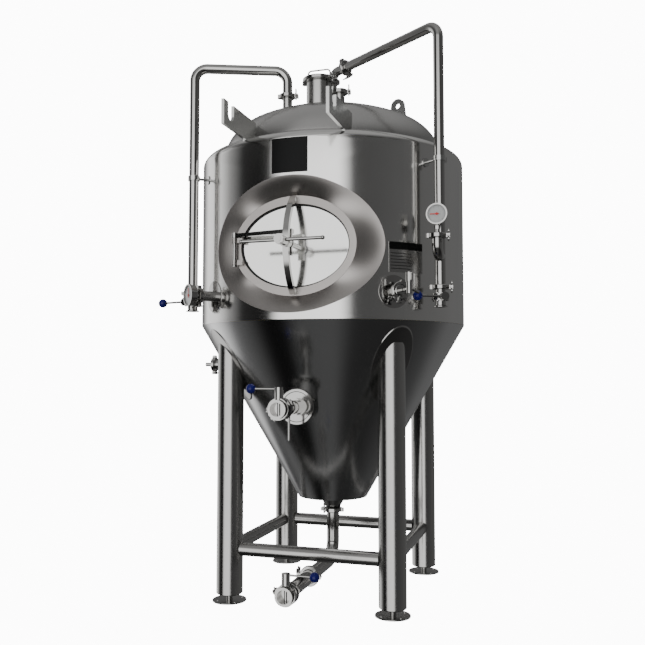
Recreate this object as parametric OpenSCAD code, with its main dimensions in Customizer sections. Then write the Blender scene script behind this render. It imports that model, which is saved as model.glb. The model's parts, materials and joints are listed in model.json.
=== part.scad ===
// Jacketed conical fermenter on four legs.
// Origin: on the tank axis at floor level. +Z is up and the manway faces -Y.
// Azimuths are degrees about +Z from -Y, positive towards +X.

/* [Tank] */
// Outside diameter of the insulated jacket
tank_d = 1082; // [1074:2:1090]
// Outside diameter of the pressure vessel inside the jacket
vessel_d = 914; // [908:2:920]
// Height of the seam between cone and straight side
seam_z = 1058.5; // [1055:0.5:1062]
// Full angle of the cone
cone_angle = 60; // [59.5:0.5:60.5]
// Height where the straight side of the vessel ends
vessel_side_z = 1739.4; // [1735:0.2:1745]
// Height where the jacket starts to turn in
jacket_side_z = 1709.4; // [1705:0.2:1712]
// Thickness of the vessel wall
vessel_wall = 4; // [3:0.5:5]
// Thickness of the jacket and cone cladding
clad_wall = 2.5; // [2:0.5:3]

/* [Manway] */
// Height of the manway centre
manway_z = 1328; // [1325:1:1332]
// Distance of the ring face from the tank axis
ring_y = 486; // [484:1:488]
// Width of the clear opening
opening_w = 415; // [411:1:417]
// Height of the clear opening
opening_h = 305; // [301:1:307]
// How far the door moves into the tank
door_travel = 20; // [12:1:22]

/* [Frame] */
// Leg tube diameter
leg_d = 101.6; // [98:0.2:104]
// Leg distance from each centre plane
leg_x = 319; // [316:1:322]
// Height of the crossbar centre line
crossbar_z = 196.5; // [190:0.5:205]
// Diameter of each foot plate
foot_d = 130; // [126:1:134]

/* [Arms] */
// Distance of the gas arm's vertical pipe from the tank axis
gas_arm_r = 600; // [598:1:602]
// Distance of the cleaning arm's vertical pipe from the tank axis
cip_arm_r = 608; // [606:1:610]
// Azimuth of the gas arm
gas_az = -48; // [-48.5:0.5:-47.5]
// Azimuth of the cleaning arm
cip_az = 56; // [55:0.5:57]
// Height of the horizontal run of the gas arm
gas_top_z = 2067; // [2064:1:2070]
// Height of the horizontal run of the cleaning arm
cip_top_z = 2144; // [2142:1:2146]

/* [Lower lines] */
// Height of the dump line centre
dump_z = 112; // [110:1:114]
// Height of the racking line centre
racking_z = 748; // [746:1:750]
// Distance of the dump valve outlet from the axis
dump_end_y = 590; // [585:1:595]
// Distance of the racking valve outlet from the axis
racking_end_y = 662; // [660:1:664]

/* [Hidden] */

$fn = 64;

STEEL = "silver";
POLISHED = "gainsboro";
RUBBER = "#222222";

tank_r = tank_d / 2;
vessel_r = vessel_d / 2;
half_angle = cone_angle / 2;

// Dished head of the vessel
knuckle_r = 166;
crown_r = 844;
knuckle_x = vessel_r - knuckle_r;
crown_z = vessel_side_z - sqrt(pow(crown_r - knuckle_r, 2) - pow(knuckle_x, 2));
knuckle_angle = 90 - asin(knuckle_x / (crown_r - knuckle_r));

// Rolled shoulder of the jacket
shoulder_r = 29;
shoulder_slope = 21.4;
shoulder_cx = tank_r - shoulder_r;
shoulder_turn = 90 - shoulder_slope;
shoulder_x = shoulder_cx + shoulder_r * cos(shoulder_turn);
shoulder_z = jacket_side_z + shoulder_r * sin(shoulder_turn);
shoulder_end_r = vessel_r + 0.8;
shoulder_end_z = shoulder_z + (shoulder_x - shoulder_end_r) * tan(shoulder_slope);

// Cone cladding closes on a flat bottom
cone_bottom_r = 140;
cone_bottom_z = seam_z - (tank_r - cone_bottom_r) / tan(half_angle);

// Pipe sizes: [outside diameter, bore, ferrule diameter]
PIPE15 = [38.1, 34.8, 50.5];
PIPE20 = [50.8, 47.5, 63.9];
PIPE40 = [101.6, 97.4, 119];
gasket_t = 1.5;
joint_gap = gasket_t / 2;

// Ports on the head: [x, y, face height]
GAS_PORT = [-108, -264, 1965];
SPARE_PORT = [108, -264, 1958];
HOP_PORT = [0, -190, 2042];
CIP_PORT = [0, 0, 2106];
// Ports on the sides: [azimuth, height, start radius, face radius]
THERMO_PORT = [-40.3, 1160, 452, 603];
SAMPLE_PORT = [40.3, 1158, 452, 585];
PROBE_PORT = [-90, 904, 330, 541];
racking_face_y = 450;

// Glycol stubs at the back: [azimuth, height, start radius]
GLYCOL = [[172, 1125, 460], [188, 1690, 460], [172, 560, 175], [188, 985, 425]];

arm_end_z = 1176;
valve15_len = 72;
valve20_len = 54;
bend_r = 50;
elbow_out = 84;
gauge_port_z = 1352;
gauge_out = 60;

door_rx = opening_w / 2 + 12;
door_rz = opening_h / 2 + 12;
ring_rx = opening_w / 2 + 25.5;
ring_rz = opening_h / 2 + 30;
collar_rx = 324;
collar_rz = 246;
spindle_d = 20;
fit = 0.05;
gap = 0.3;

// ---- helpers ----

// Points of an arc, from angle a0 to a1
function arc(cx, cy, r, a0, a1, n) = [for (i = [0:n]) let (a = a0 + (a1 - a0) * i / n)
    [cx + r * cos(a), cy + r * sin(a)]];

// Radius of the vessel cone and of the cladding cone at a height
function vessel_cone_r(z) = vessel_r - (seam_z - z) * tan(half_angle);
function clad_cone_r(z) = tank_r - (seam_z - z) * tan(half_angle);

// Dished head at an inward offset, from the straight side to the axis
function head(o) = concat(
    arc(knuckle_x, vessel_side_z, knuckle_r - o, 0, knuckle_angle, 8),
    arc(0, crown_z, crown_r - o, knuckle_angle + 1.5, 90, 10));

// Outside line of the jacket at an inward offset
function jacket_line(o) = concat([[tank_r - o, seam_z + 0.3]],
    arc(shoulder_cx, jacket_side_z, shoulder_r - o, 0, shoulder_turn, 6),
    [[shoulder_end_r, shoulder_end_z - o / cos(shoulder_slope)]]);

function reversed(p) = [for (i = [len(p) - 1:-1:0]) p[i]];

// Places children with local z pointing outwards at an azimuth, local y up
module radial(az, z, r = 0) {
    translate([0, 0, z]) rotate([90, 0, az]) translate([0, 0, r]) children();
}

// Ellipse as a polygon of n sides
module ellipse(rx, ry, n = 72) {
    polygon([for (i = [0:n - 1]) [rx * cos(360 * i / n), ry * sin(360 * i / n)]]);
}

// Straight oval prism along -Y at the manway, from y0 to y1 in front of the axis
module manway_prism(rx, rz, y0, y1) {
    translate([0, -y0, manway_z]) rotate([90, 0, 0]) linear_extrude(y1 - y0) ellipse(rx, rz);
}

// Ferrule collar with its mating face at z = 0, body towards -z
module ferrule(p) {
    rotate_extrude() polygon([[p[1] / 2, -joint_gap], [p[2] / 2, -joint_gap],
        [p[2] / 2, -joint_gap - 3], [p[2] / 2 - 6.5, -joint_gap - 6.5],
        [p[0] / 2, -joint_gap - 6.5], [p[0] / 2, -12], [p[1] / 2, -12]]);
}

// Straight tube from z0 to z1
module tube(p, z0, z1) {
    translate([0, 0, z0]) difference() {
        cylinder(d = p[0], h = z1 - z0);
        translate([0, 0, -1]) cylinder(d = p[1], h = z1 - z0 + 2);
    }
}

// Pipe bend in the local XZ plane: starts at the origin along +z, turns towards +x
module bend(p, r, a = 90) {
    translate([r, 0, 0]) rotate([90, 0, 0]) rotate([0, 0, 180 - a]) rotate_extrude(angle = a)
        translate([r, 0]) difference() {
            circle(d = p[0]);
            circle(d = p[1]);
        }
}

// Two-part clamp band around a joint; the bolt is on local +x and the hinge on -x
module clamp_band(p) {
    f = p[2] / 2;
    difference() {
        union() {
            rotate_extrude() polygon([[f - 4, 6.1], [f + 0.4, 4.4], [f + 0.4, -4.4], [f - 4, -6.1],
                [f - 4, -8], [f + 4, -8], [f + 6.5, -6], [f + 6.5, 6], [f + 4, 8], [f - 4, 8]]);
            translate([f + 11, 0, 0]) cube([14, 22, 14], center = true);
            translate([-f - 8, 0, 0]) cube([7, 18, 15], center = true);
            translate([-f - 10, 0, 0]) cylinder(d = 10, h = 15, center = true, $fn = 24);
        }
        translate([f + 10, 0, 0]) cube([30, 7, 20], center = true);
        translate([-f, 0, 0]) cube([11, 1, 20], center = true);
        translate([f + 12, 0, 0]) rotate([90, 0, 0]) cylinder(d = 7, h = 40, center = true, $fn = 24);
    }
}

// Bolt with wing nut for a clamp band; the bolt lies along local y
module wing_nut(p) {
    f = p[2] / 2;
    translate([f + 12, 0, 0]) rotate([90, 0, 0]) {
        translate([0, 0, -22]) cylinder(d = 6, h = 56, $fn = 24);
        translate([0, 0, -17]) cylinder(d = 11, h = 5.4, $fn = 6);
        translate([0, 0, 11.4]) cylinder(d1 = 12, d2 = 10, h = 12, $fn = 24);
        for (s = [-1, 1]) translate([0, s * 14, 20]) rotate([0, 90, 0])
            cylinder(d = 17, h = 4, center = true, $fn = 32);
    }
}

// Butterfly valve body: pipe along z from 0 to len, stem housing along +y
module valve_body(p, len, stem_end) {
    mid = len / 2;
    difference() {
        union() {
            tube(p, 11, len - 11);
            translate([0, 0, mid - 12]) cylinder(d = p[0] + 24, h = 24);
            translate([0, 0, mid]) rotate([-90, 0, 0]) cylinder(d = 30, h = stem_end);
            for (a = [45, 135, 225, 315]) rotate([0, 0, a]) translate([p[0] / 2 + 7, 0, mid - 15])
                cylinder(d = 9, h = 30, $fn = 6);
        }
        translate([0, 0, -1]) cylinder(d = p[1], h = len + 2);
        translate([0, 0, mid]) rotate([-90, 0, 0]) translate([0, 0, -p[0] / 2 - 3])
            cylinder(d = 12, h = p[0] + stem_end);
    }
    rotate([180, 0, 0]) ferrule(p);
    translate([0, 0, len]) ferrule(p);
}

// Disc and stem of a butterfly valve, shut
module valve_disc(p, len, stem_end) {
    mid = len / 2;
    translate([0, 0, mid - 2]) cylinder(d = p[1] - 0.4, h = 4);
    translate([0, 0, mid]) rotate([-90, 0, 0]) {
        translate([0, 0, -p[0] / 2 - 2]) cylinder(d = 12 - 2 * fit, h = p[0] / 2 + 2 + stem_end + 8);
    }
}

// Lever of a butterfly valve: hub on the stem, rod towards -x
module valve_handle(len, stem_end, rod) {
    translate([0, stem_end + gap, len / 2]) rotate([-90, 0, 0]) difference() {
        union() {
            cylinder(d = 30, h = 12);
            translate([0, 0, 6]) rotate([0, -90, 0]) cylinder(d = 8, h = rod - 8, $fn = 32);
        }
        translate([0, 0, -1]) cylinder(d = 12.02, h = 9.4);
    }
}

// Ball knob on the end of the lever rod
module valve_knob(len, stem_end, rod) {
    difference() {
        translate([-rod, stem_end + gap + 6, len / 2]) sphere(d = 34);
        translate([-rod + 7.9, stem_end + gap + 6, len / 2]) rotate([0, 90, 0])
            cylinder(d = 8.02, h = 20, $fn = 32);
    }
}

// Places a child at the top of an arm valve; pipe downwards, stem at an azimuth
module arm_valve_place(az, r, stem_az) {
    rotate([0, 0, az]) translate([0, -r, arm_end_z]) rotate([0, 0, stem_az - az])
        rotate([0, 180, 0]) rotate([0, 0, 180]) children();
}

gas_stem_az = -18;
cip_stem_az = 28;
gas_rod = 118;
cip_rod = 99;
front_rod = 103;
arm_stem = 38;
front_stem = 62;

module gas_valve_place() { arm_valve_place(gas_az, gas_arm_r, gas_stem_az) children(); }
module cip_valve_place() { arm_valve_place(cip_az, cip_arm_r, cip_stem_az) children(); }

// Front valves: pipe along -Y from the clamp to the outlet, stem up
module racking_valve_place() {
    translate([0, -(racking_end_y - valve20_len), racking_z]) rotate([90, 0, 0]) children();
}
module dump_valve_place() {
    translate([0, -(dump_end_y - valve20_len), dump_z]) rotate([90, 0, 0]) mirror([1, 0, 0]) children();
}

// ---- tank ----

module inner_vessel() {
    lip_z = seam_z - (vessel_r - PIPE20[0] / 2) / tan(half_angle);
    bore_z = seam_z - (vessel_r - vessel_wall / cos(half_angle) - PIPE20[1] / 2) / tan(half_angle);
    inner_seam = seam_z + vessel_wall * (1 / cos(half_angle) - 1) / tan(half_angle);
    outlet_z = lip_z - 3.5;
    neck_r = PIPE20[0] / 2 + 1.8;
    color(STEEL) difference() {
        union() {
            rotate_extrude($fn = 96) polygon(concat(
                [[PIPE20[2] / 2, outlet_z], [PIPE20[2] / 2, outlet_z + 3], [neck_r, outlet_z + 5.5],
                    [neck_r, lip_z + (neck_r - PIPE20[0] / 2) / tan(half_angle)]],
                [[vessel_r, seam_z]], head(0),
                reversed(head(vessel_wall)),
                [[vessel_r - vessel_wall, inner_seam], [PIPE20[1] / 2, bore_z], [PIPE20[1] / 2, outlet_z]]));
            for (p = [GAS_PORT, SPARE_PORT]) translate(p) {
                tube(PIPE15, -60, -11);
                ferrule(PIPE15);
            }
            translate(HOP_PORT) {
                tube(PIPE40, -124, -11);
                ferrule(PIPE40);
            }
            translate(CIP_PORT) {
                tube(PIPE15, -145, -11);
                ferrule(PIPE15);
            }
            for (p = [THERMO_PORT, SAMPLE_PORT, PROBE_PORT]) radial(p[0], p[1]) {
                tube(PIPE15, p[2], p[3] - 11);
                translate([0, 0, p[3]]) ferrule(PIPE15);
            }
            radial(0, racking_z) {
                tube(PIPE40, 232, racking_face_y - 11);
                translate([0, 0, racking_face_y]) ferrule(PIPE40);
            }
        }
        for (p = [GAS_PORT, SPARE_PORT, CIP_PORT]) translate(p) translate([0, 0, -170])
            cylinder(d = PIPE15[1], h = 175);
        translate(HOP_PORT) translate([0, 0, -170]) cylinder(d = PIPE40[1], h = 175);
        for (p = [THERMO_PORT, SAMPLE_PORT, PROBE_PORT]) radial(p[0], p[1], p[2] - 30)
            cylinder(d = PIPE15[1], h = 300);
        radial(0, racking_z, 200) cylinder(d = PIPE40[1], h = 250);
        manway_prism(ring_rx - 5, ring_rz - 5, 300, 480);
    }
}

module port_clearance(extra) {
    for (p = [THERMO_PORT, SAMPLE_PORT, PROBE_PORT]) radial(p[0], p[1], p[2] - 60)
        cylinder(d = PIPE15[0] + extra, h = 320);
    radial(0, racking_z, 150) cylinder(d = PIPE40[0] + extra, h = 350);
}

module glycol_stubs(extra, h) {
    for (g = GLYCOL) radial(g[0], g[1], g[2]) cylinder(d = 27 + extra, h = h, $fn = 32);
}

module cooling_jackets() {
    side_z0 = 1095;
    side_z1 = 1715;
    cone_z0 = 480;
    cone_z1 = 1010;
    t = 5;
    color("lightsteelblue") difference() {
        union() {
            rotate_extrude() polygon([[vessel_r + gap, side_z0], [vessel_r + t, side_z0],
                [vessel_r + t, side_z1], [vessel_r + gap, side_z1]]);
            rotate_extrude() polygon([[vessel_cone_r(cone_z0) + gap * 2, cone_z0],
                [vessel_cone_r(cone_z0) + t, cone_z0], [vessel_cone_r(cone_z1) + t, cone_z1],
                [vessel_cone_r(cone_z1) + gap * 2, cone_z1]]);
            for (g = GLYCOL) {
                reach = (g[1] > seam_z ? tank_r : clad_cone_r(g[1])) + 42;
                radial(g[0], g[1], g[2]) cylinder(d = 27, h = reach - g[2], $fn = 32);
            }
        }
        for (g = GLYCOL) radial(g[0], g[1], g[2] + t) cylinder(d = 19, h = 400, $fn = 32);
        rotate_extrude() polygon([[0, cone_z0 - 100], [vessel_cone_r(cone_z0 - 100) + gap * 2, cone_z0 - 100],
            [vessel_r + gap, seam_z], [vessel_r + gap, side_z1 + 50], [0, side_z1 + 50]]);
        manway_prism(ring_rx + 8, ring_rz + 8, 300, 500);
        port_clearance(12);
    }
}

module insulation_foam() {
    inner = 9;
    outer = clad_wall + 0.8;
    foam_top_z = 1735;
    color("khaki") difference() {
        rotate_extrude() polygon([[cone_bottom_r - 60, cone_bottom_z + 6],
            [clad_cone_r(cone_bottom_z + 6) - outer * 1.2, cone_bottom_z + 6],
            [tank_r - outer * 1.2, seam_z], [tank_r - outer * 1.2, jacket_side_z - 3],
            [shoulder_x - 24, foam_top_z - 12], [vessel_r + inner, foam_top_z],
            [vessel_r + inner, seam_z], [cone_bottom_r - 60, vessel_seam_z(cone_bottom_r - 60 - inner)]]);
        manway_prism(collar_rx + 2, collar_rz + 2, 200, 600);
        port_clearance(6);
        glycol_stubs(4, 400);
    }
}

// Height at which the vessel cone reaches a radius
function vessel_seam_z(r) = seam_z - (vessel_r - r) / tan(half_angle);

module jacket_shell() {
    color(STEEL) difference() {
        rotate_extrude($fn = 96) polygon(concat(jacket_line(0), reversed(jacket_line(clad_wall))));
        manway_prism(collar_rx + 0.5, collar_rz + 0.5, 200, 700);
        port_clearance(4);
        glycol_stubs(3, 400);
    }
}

module cone_cladding() {
    t = clad_wall / cos(half_angle);
    hole_r = vessel_cone_r(cone_bottom_z + clad_wall) + 3;
    color("dimgray") difference() {
        rotate_extrude($fn = 96) polygon([[hole_r, cone_bottom_z], [cone_bottom_r, cone_bottom_z],
            [tank_r, seam_z - 0.3], [tank_r - t, seam_z - 0.3],
            [clad_cone_r(cone_bottom_z + clad_wall) - t, cone_bottom_z + clad_wall],
            [hole_r, cone_bottom_z + clad_wall]]);
        port_clearance(4);
        glycol_stubs(3, 400);
    }
}

// ---- manway ----

// Flared surface from the jacket to the ring: point at angle a, blend s from rim to ring, depth d
function collar_point(a, s, d) =
    let (rx = ring_rx + 0.4 + (collar_rx - ring_rx - 0.4) * (1 - s),
         rz = ring_rz + 0.4 + (collar_rz - ring_rz - 0.4) * (1 - s),
         x = rx * cos(a),
         rim = sqrt(pow(tank_r, 2) - pow(collar_rx * cos(a), 2)),
         y = rim + (ring_y - rim) * (1 - cos(90 * s)) * 0.5 + (ring_y - rim) * s * 0.5)
    [x, -y + d, manway_z + rz * sin(a)];

module manway_collar() {
    n = 64;
    steps = 5;
    m = steps + 1;
    pts = concat([for (i = [0:n - 1]) for (j = [0:steps]) collar_point(360 * i / n, j / steps, 0)],
        [for (i = [0:n - 1]) for (j = [0:steps]) collar_point(360 * i / n, j / steps, 3)]);
    back = n * m;
    function at(i, j) = (i % n) * m + j;
    faces = concat(
        [for (i = [0:n - 1]) for (j = [0:steps - 1]) [at(i, j), at(i, j + 1), at(i + 1, j + 1)]],
        [for (i = [0:n - 1]) for (j = [0:steps - 1]) [at(i, j), at(i + 1, j + 1), at(i + 1, j)]],
        [for (i = [0:n - 1]) for (j = [0:steps - 1]) [back + at(i, j), back + at(i + 1, j + 1), back + at(i, j + 1)]],
        [for (i = [0:n - 1]) for (j = [0:steps - 1]) [back + at(i, j), back + at(i + 1, j), back + at(i + 1, j + 1)]],
        [for (i = [0:n - 1]) [at(i, 0), at(i + 1, 0), back + at(i + 1, 0)]],
        [for (i = [0:n - 1]) [at(i, 0), back + at(i + 1, 0), back + at(i, 0)]],
        [for (i = [0:n - 1]) [at(i, steps), back + at(i + 1, steps), at(i + 1, steps)]],
        [for (i = [0:n - 1]) [at(i, steps), back + at(i, steps), back + at(i + 1, steps)]]);
    color(POLISHED) polyhedron(pts, faces);
}

hinge_x = -ring_rx + 6;
hinge_y = ring_y + 15;
hinge_z0 = 1262;
hinge_z1 = 1380;

module manway_neck() {
    flange_t = 12;
    color(POLISHED) difference() {
        union() {
            difference() {
                manway_prism(ring_rx, ring_rz, 380, ring_y);
                manway_prism(ring_rx - 5, ring_rz - 5, 300, ring_y - flange_t);
                manway_prism(opening_w / 2, opening_h / 2, 300, ring_y + 5);
            }
            for (z = [hinge_z0 + 2, hinge_z1 - 34]) {
                translate([hinge_x, -hinge_y, z]) cylinder(d = 20, h = 18);
                translate([hinge_x - 10, -hinge_y, z]) cube([34, hinge_y - ring_y - gap, 18]);
                translate([-ring_rx + 21, -hinge_y, z]) cube([16, 20, 18]);
            }
        }
        cylinder(r = vessel_r + 0.3, h = 2000, $fn = 96);
        translate([hinge_x, -hinge_y, hinge_z0 - 5]) cylinder(d = 12, h = 140);
    }
}

module manway_hinge_pin() {
    color(POLISHED) translate([hinge_x, -hinge_y, hinge_z0 - 4]) {
        translate([0, 0, 3]) cylinder(d = 12 - 2 * fit, h = hinge_z1 - hinge_z0 + 4);
        cylinder(d = 18, h = 4);
    }
}

module manway_door() {
    back = ring_y - 12 - 6.4;
    color("white") difference() {
        union() {
            manway_prism(door_rx, door_rz, back - 5, back);
            manway_prism(door_rx - 18.5, door_rz - 18.5, back - 2, back + 5);
        }
        translate([0, -back - 6, manway_z]) rotate([-90, 0, 0]) cylinder(d = spindle_d, h = 7.5);
    }
}

module manway_gasket() {
    color(RUBBER) difference() {
        manway_prism(door_rx - 1, door_rz - 1, ring_y - 18.3, ring_y - 12.35);
        manway_prism(door_rx - 18, door_rz - 18, ring_y - 20, ring_y - 10);
    }
}

module along_spindle(y0) {
    translate([0, -y0, manway_z]) rotate([90, 0, 0]) children();
}

bow_r = 235;
bow_y = 580 - 8;

module manway_spindle() {
    color(POLISHED) along_spindle(ring_y - 19.9) cylinder(d = spindle_d - 2 * fit,
        h = handle_y + 10 + door_travel - (ring_y - 19.9));
}

module manway_yoke() {
    w = 21;
    reach = 178;
    color(POLISHED) difference() {
        union() {
            intersection() {
                translate([-w / 2, -bow_y + bow_r, manway_z]) rotate([0, 90, 0]) difference() {
                    cylinder(r = bow_r + 8, h = w, $fn = 96);
                    translate([0, 0, -1]) cylinder(r = bow_r - 8, h = w + 2, $fn = 96);
                }
                translate([-w, -bow_y - 20, manway_z - reach]) cube([2 * w, bow_y + 20 - ring_y - gap, 2 * reach]);
            }
            for (s = [-1, 1]) translate([0, -ring_y - gap, manway_z + s * (opening_h / 2 + 13)])
                rotate([90, 0, 0]) cylinder(d = 26, h = 14);
            along_spindle(bow_y - 12) cylinder(d = 40, h = 26);
        }
        along_spindle(bow_y - 40) cylinder(d = spindle_d, h = 80);
    }
}

handle_y = 620;

module manway_handle() {
    color(POLISHED) difference() {
        union() {
            along_spindle(bow_y + 14 + gap) cylinder(d = 34, h = 62);
            along_spindle(handle_y + 10) cylinder(d = 38, h = 6);
            translate([-150, -handle_y, manway_z]) rotate([0, 90, 0]) cylinder(d = 12, h = 300);
            for (s = [-1, 1]) translate([s * 150, -handle_y, manway_z]) sphere(d = 15, $fn = 32);
        }
        along_spindle(bow_y) cylinder(d = spindle_d, h = 120);
    }
}

arm_plate_y = 541;

module manway_swing_arm() {
    bar_z = 1371;
    color(POLISHED) difference() {
        union() {
            translate([hinge_x, -hinge_y, hinge_z1 - 15]) cylinder(d = 20, h = 18);
            translate([hinge_x, -hinge_y - 6, hinge_z1 - 14]) rotate([0, 0, -9]) cube([236, 12, 14]);
            along_spindle(arm_plate_y - 7) translate([-11, -44, 0]) cube([22, 94, 10]);
            along_spindle(arm_plate_y - 7) cylinder(d = 36, h = 10);
            translate([-11, -arm_plate_y - 3, manway_z + 38]) cube([22, 26, 14]);
        }
        translate([hinge_x, -hinge_y, hinge_z1 - 20]) cylinder(d = 12, h = 40);
        along_spindle(arm_plate_y - 20) cylinder(d = spindle_d + 0.1, h = 60);
    }
}

// ---- legs and feet ----

foot_plate_t = 4;
leg_bottom_z = 28;

module leg(sx, sy) {
    pad_t = 3;
    wall = 3;
    color(STEEL) difference() {
        union() {
            difference() {
                translate([sx * leg_x, sy * leg_x, leg_bottom_z]) cylinder(d = leg_d, h = 1000);
                translate([sx * leg_x, sy * leg_x, leg_bottom_z + 12]) cylinder(d = leg_d - 2 * wall, h = 1000);
                cone_solid(pad_t);
            }
            intersection() {
                difference() {
                    cone_solid(pad_t + 0.2);
                    cone_solid(0.3);
                }
                translate([sx * leg_x, sy * leg_x, 700]) cylinder(d = leg_d + 56, h = seam_z - 712);
            }
        }
        translate([sx * leg_x, sy * leg_x, leg_bottom_z - 1]) cylinder(d = 24, h = 20);
    }
}

// The cladding cone as a solid, grown outwards by an offset
module cone_solid(o) {
    e = o / cos(half_angle);
    rotate_extrude($fn = 96) polygon([[0, cone_bottom_z + 60], [clad_cone_r(cone_bottom_z + 60) + e,
        cone_bottom_z + 60], [tank_r + e, seam_z], [tank_r + e, seam_z + 400], [0, seam_z + 400]]);
}

module leg_front_left() { leg(-1, -1); }
module leg_front_right() { leg(1, -1); }
module leg_rear_left() { leg(-1, 1); }
module leg_rear_right() { leg(1, 1); }

module leg_crossbars() {
    d = 50.8;
    color(STEEL) difference() {
        for (a = [0, 90, 180, 270]) rotate([0, 0, a]) difference() {
            translate([-leg_x, -leg_x, crossbar_z]) rotate([0, 90, 0]) cylinder(d = d, h = 2 * leg_x);
            translate([-leg_x, -leg_x, crossbar_z]) rotate([0, 90, 0]) cylinder(d = d - 5, h = 2 * leg_x);
        }
        for (sx = [-1, 1]) for (sy = [-1, 1]) translate([sx * leg_x, sy * leg_x, 100])
            cylinder(d = leg_d + 0.2, h = 200);
    }
}

anchor_pcd = 100;
anchor_d = 11;

module levelling_feet() {
    color(STEEL) for (sx = [-1, 1]) for (sy = [-1, 1]) translate([sx * leg_x, sy * leg_x, 0]) difference() {
        union() {
            cylinder(d = foot_d, h = foot_plate_t);
            cylinder(d = 24 - 2 * fit, h = 46);
        }
        for (a = [45, 135, 225, 315]) rotate([0, 0, a]) translate([anchor_pcd / 2, 0, -1])
            cylinder(d = anchor_d, h = foot_plate_t + 2);
    }
}

// ---- plates, hooks and lugs ----

// Plate that follows the jacket, between two azimuths
module curved_plate(az, w, z0, z1, t) {
    a = 2 * asin(w / 2 / tank_r);
    rotate([0, 0, az - 90 - a / 2]) rotate_extrude(angle = a, $fn = 180)
        translate([tank_r + 0.15, z0]) square([t, z1 - z0]);
}

module name_plates() {
    color("black") curved_plate(0, 135, 1583, jacket_side_z - 1, 1.5);
    color("lightgray") curved_plate(45.9, 144, 1228, 1337, 1.2);
}

// Everything inside the outside skin of jacket and head, grown by an offset
module envelope(o) {
    rotate_extrude($fn = 96) polygon(concat([[0, seam_z], [tank_r + o, seam_z]],
        jacket_line(-o), [[vessel_r + o, shoulder_end_z]], head(-o)));
}

module ladder_hooks() {
    t = 11;
    back_y = 405;
    base_z = 1731;
    top_z = 1820;
    color(STEEL) for (sx = [-1, 1]) difference() {
        translate([sx * 190 - t / 2, 0, 0]) rotate([90, 0, 90]) linear_extrude(t) difference() {
            polygon([[-693, base_z], [-693, top_z], [-657, top_z], [-657, 1780.5], [-610, 1780.5],
                [-610, top_z], [-back_y, top_z], [-back_y, 1700], [-500, 1700], [-500, base_z]]);
            translate([-633.5, 1780.5]) circle(d = 47);
        }
        envelope(0.15);
    }
}

module lifting_lugs() {
    t = 12;
    seat_r = 310;
    hole_z = 1944;
    color(STEEL) for (az = [75, -105]) rotate([0, 0, az]) difference() {
        translate([-t / 2, -seat_r, hole_z]) rotate([90, 0, 90]) linear_extrude(t) {
            circle(d = 58);
            polygon([[-29, 0], [29, 0], [38, -70], [-38, -70]]);
        }
        translate([0, -seat_r, hole_z]) rotate([0, 90, 0]) cylinder(d = 22, h = 40, center = true);
        envelope(0.15);
    }
}

// ---- top fittings and arms ----

module hop_port_lid() {
    z = HOP_PORT[2] + joint_gap;
    rod = 7;
    leg_gap = 46;
    h = 44;
    r = 14;
    color(POLISHED) translate([0, HOP_PORT[1], z]) {
        cylinder(d = PIPE40[2], h = 3);
        translate([0, 0, 3]) cylinder(d1 = PIPE40[2], d2 = PIPE40[2] - 13, h = 3.5);
        for (s = [-1, 1]) {
            translate([s * leg_gap, 0, 5]) cylinder(d = rod, h = h - r - 5, $fn = 32);
            translate([s * leg_gap, 0, h - r]) mirror([s > 0 ? 1 : 0, 0, 0]) translate([r, 0, 0])
                rotate([90, 0, 0]) rotate([0, 0, 90]) rotate_extrude(angle = 90, $fn = 32)
                    translate([r, 0]) circle(d = rod);
        }
        translate([-leg_gap + r, 0, h]) rotate([0, 90, 0]) cylinder(d = rod, h = 2 * (leg_gap - r), $fn = 32);
    }
}

function polar(az, r) = [r * sin(az), -r * cos(az)];
gas_foot = polar(gas_az, gas_arm_r);
cip_foot = polar(cip_az, cip_arm_r);
gas_run = norm(gas_foot - [GAS_PORT[0], GAS_PORT[1]]);
gas_run_angle = atan2(gas_foot[1] - GAS_PORT[1], gas_foot[0] - GAS_PORT[0]);

// Pipe that rises from a foot, runs level and comes down: origin at the rise, local +x along the run
module arm_run(p, rise, run, drop) {
    if (rise > 0) {
        tube(p, 11, rise - bend_r);
        rotate([180, 0, 0]) ferrule(p);
        translate([0, 0, rise - bend_r]) bend(p, bend_r);
    }
    x0 = rise > 0 ? bend_r : elbow_out + 11;
    if (rise <= 0) translate([elbow_out, 0, 0]) rotate([0, -90, 0]) ferrule(p);
    translate([x0, 0, max(rise, 0)]) rotate([0, 90, 0]) tube(p, 0, run - bend_r - x0);
    translate([run, 0, max(rise, 0) - bend_r]) mirror([1, 0, 0]) bend(p, bend_r);
    translate([run, 0, max(rise, 0)]) rotate([180, 0, 0]) {
        tube(p, bend_r, drop - 11);
        translate([0, 0, drop]) ferrule(p);
    }
}

module gas_arm_pipe() {
    color(POLISHED) translate(GAS_PORT) rotate([0, 0, gas_run_angle])
        arm_run(PIPE15, gas_top_z - GAS_PORT[2], gas_run, gas_top_z - arm_end_z);
}

module cip_arm_pipe() {
    stub_r = 42;
    color(POLISHED) difference() {
        union() {
            translate([0, 0, cip_top_z]) rotate([0, 0, cip_az - 90])
                arm_run(PIPE15, 0, cip_arm_r, cip_top_z - arm_end_z);
            gauge_stub(stub_r, PIPE15[0], 0);
            translate([cip_foot[0], cip_foot[1] - gauge_out, gauge_port_z]) ferrule(PIPE15);
        }
        gauge_stub(stub_r, PIPE15[1], 20);
    }
}

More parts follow.
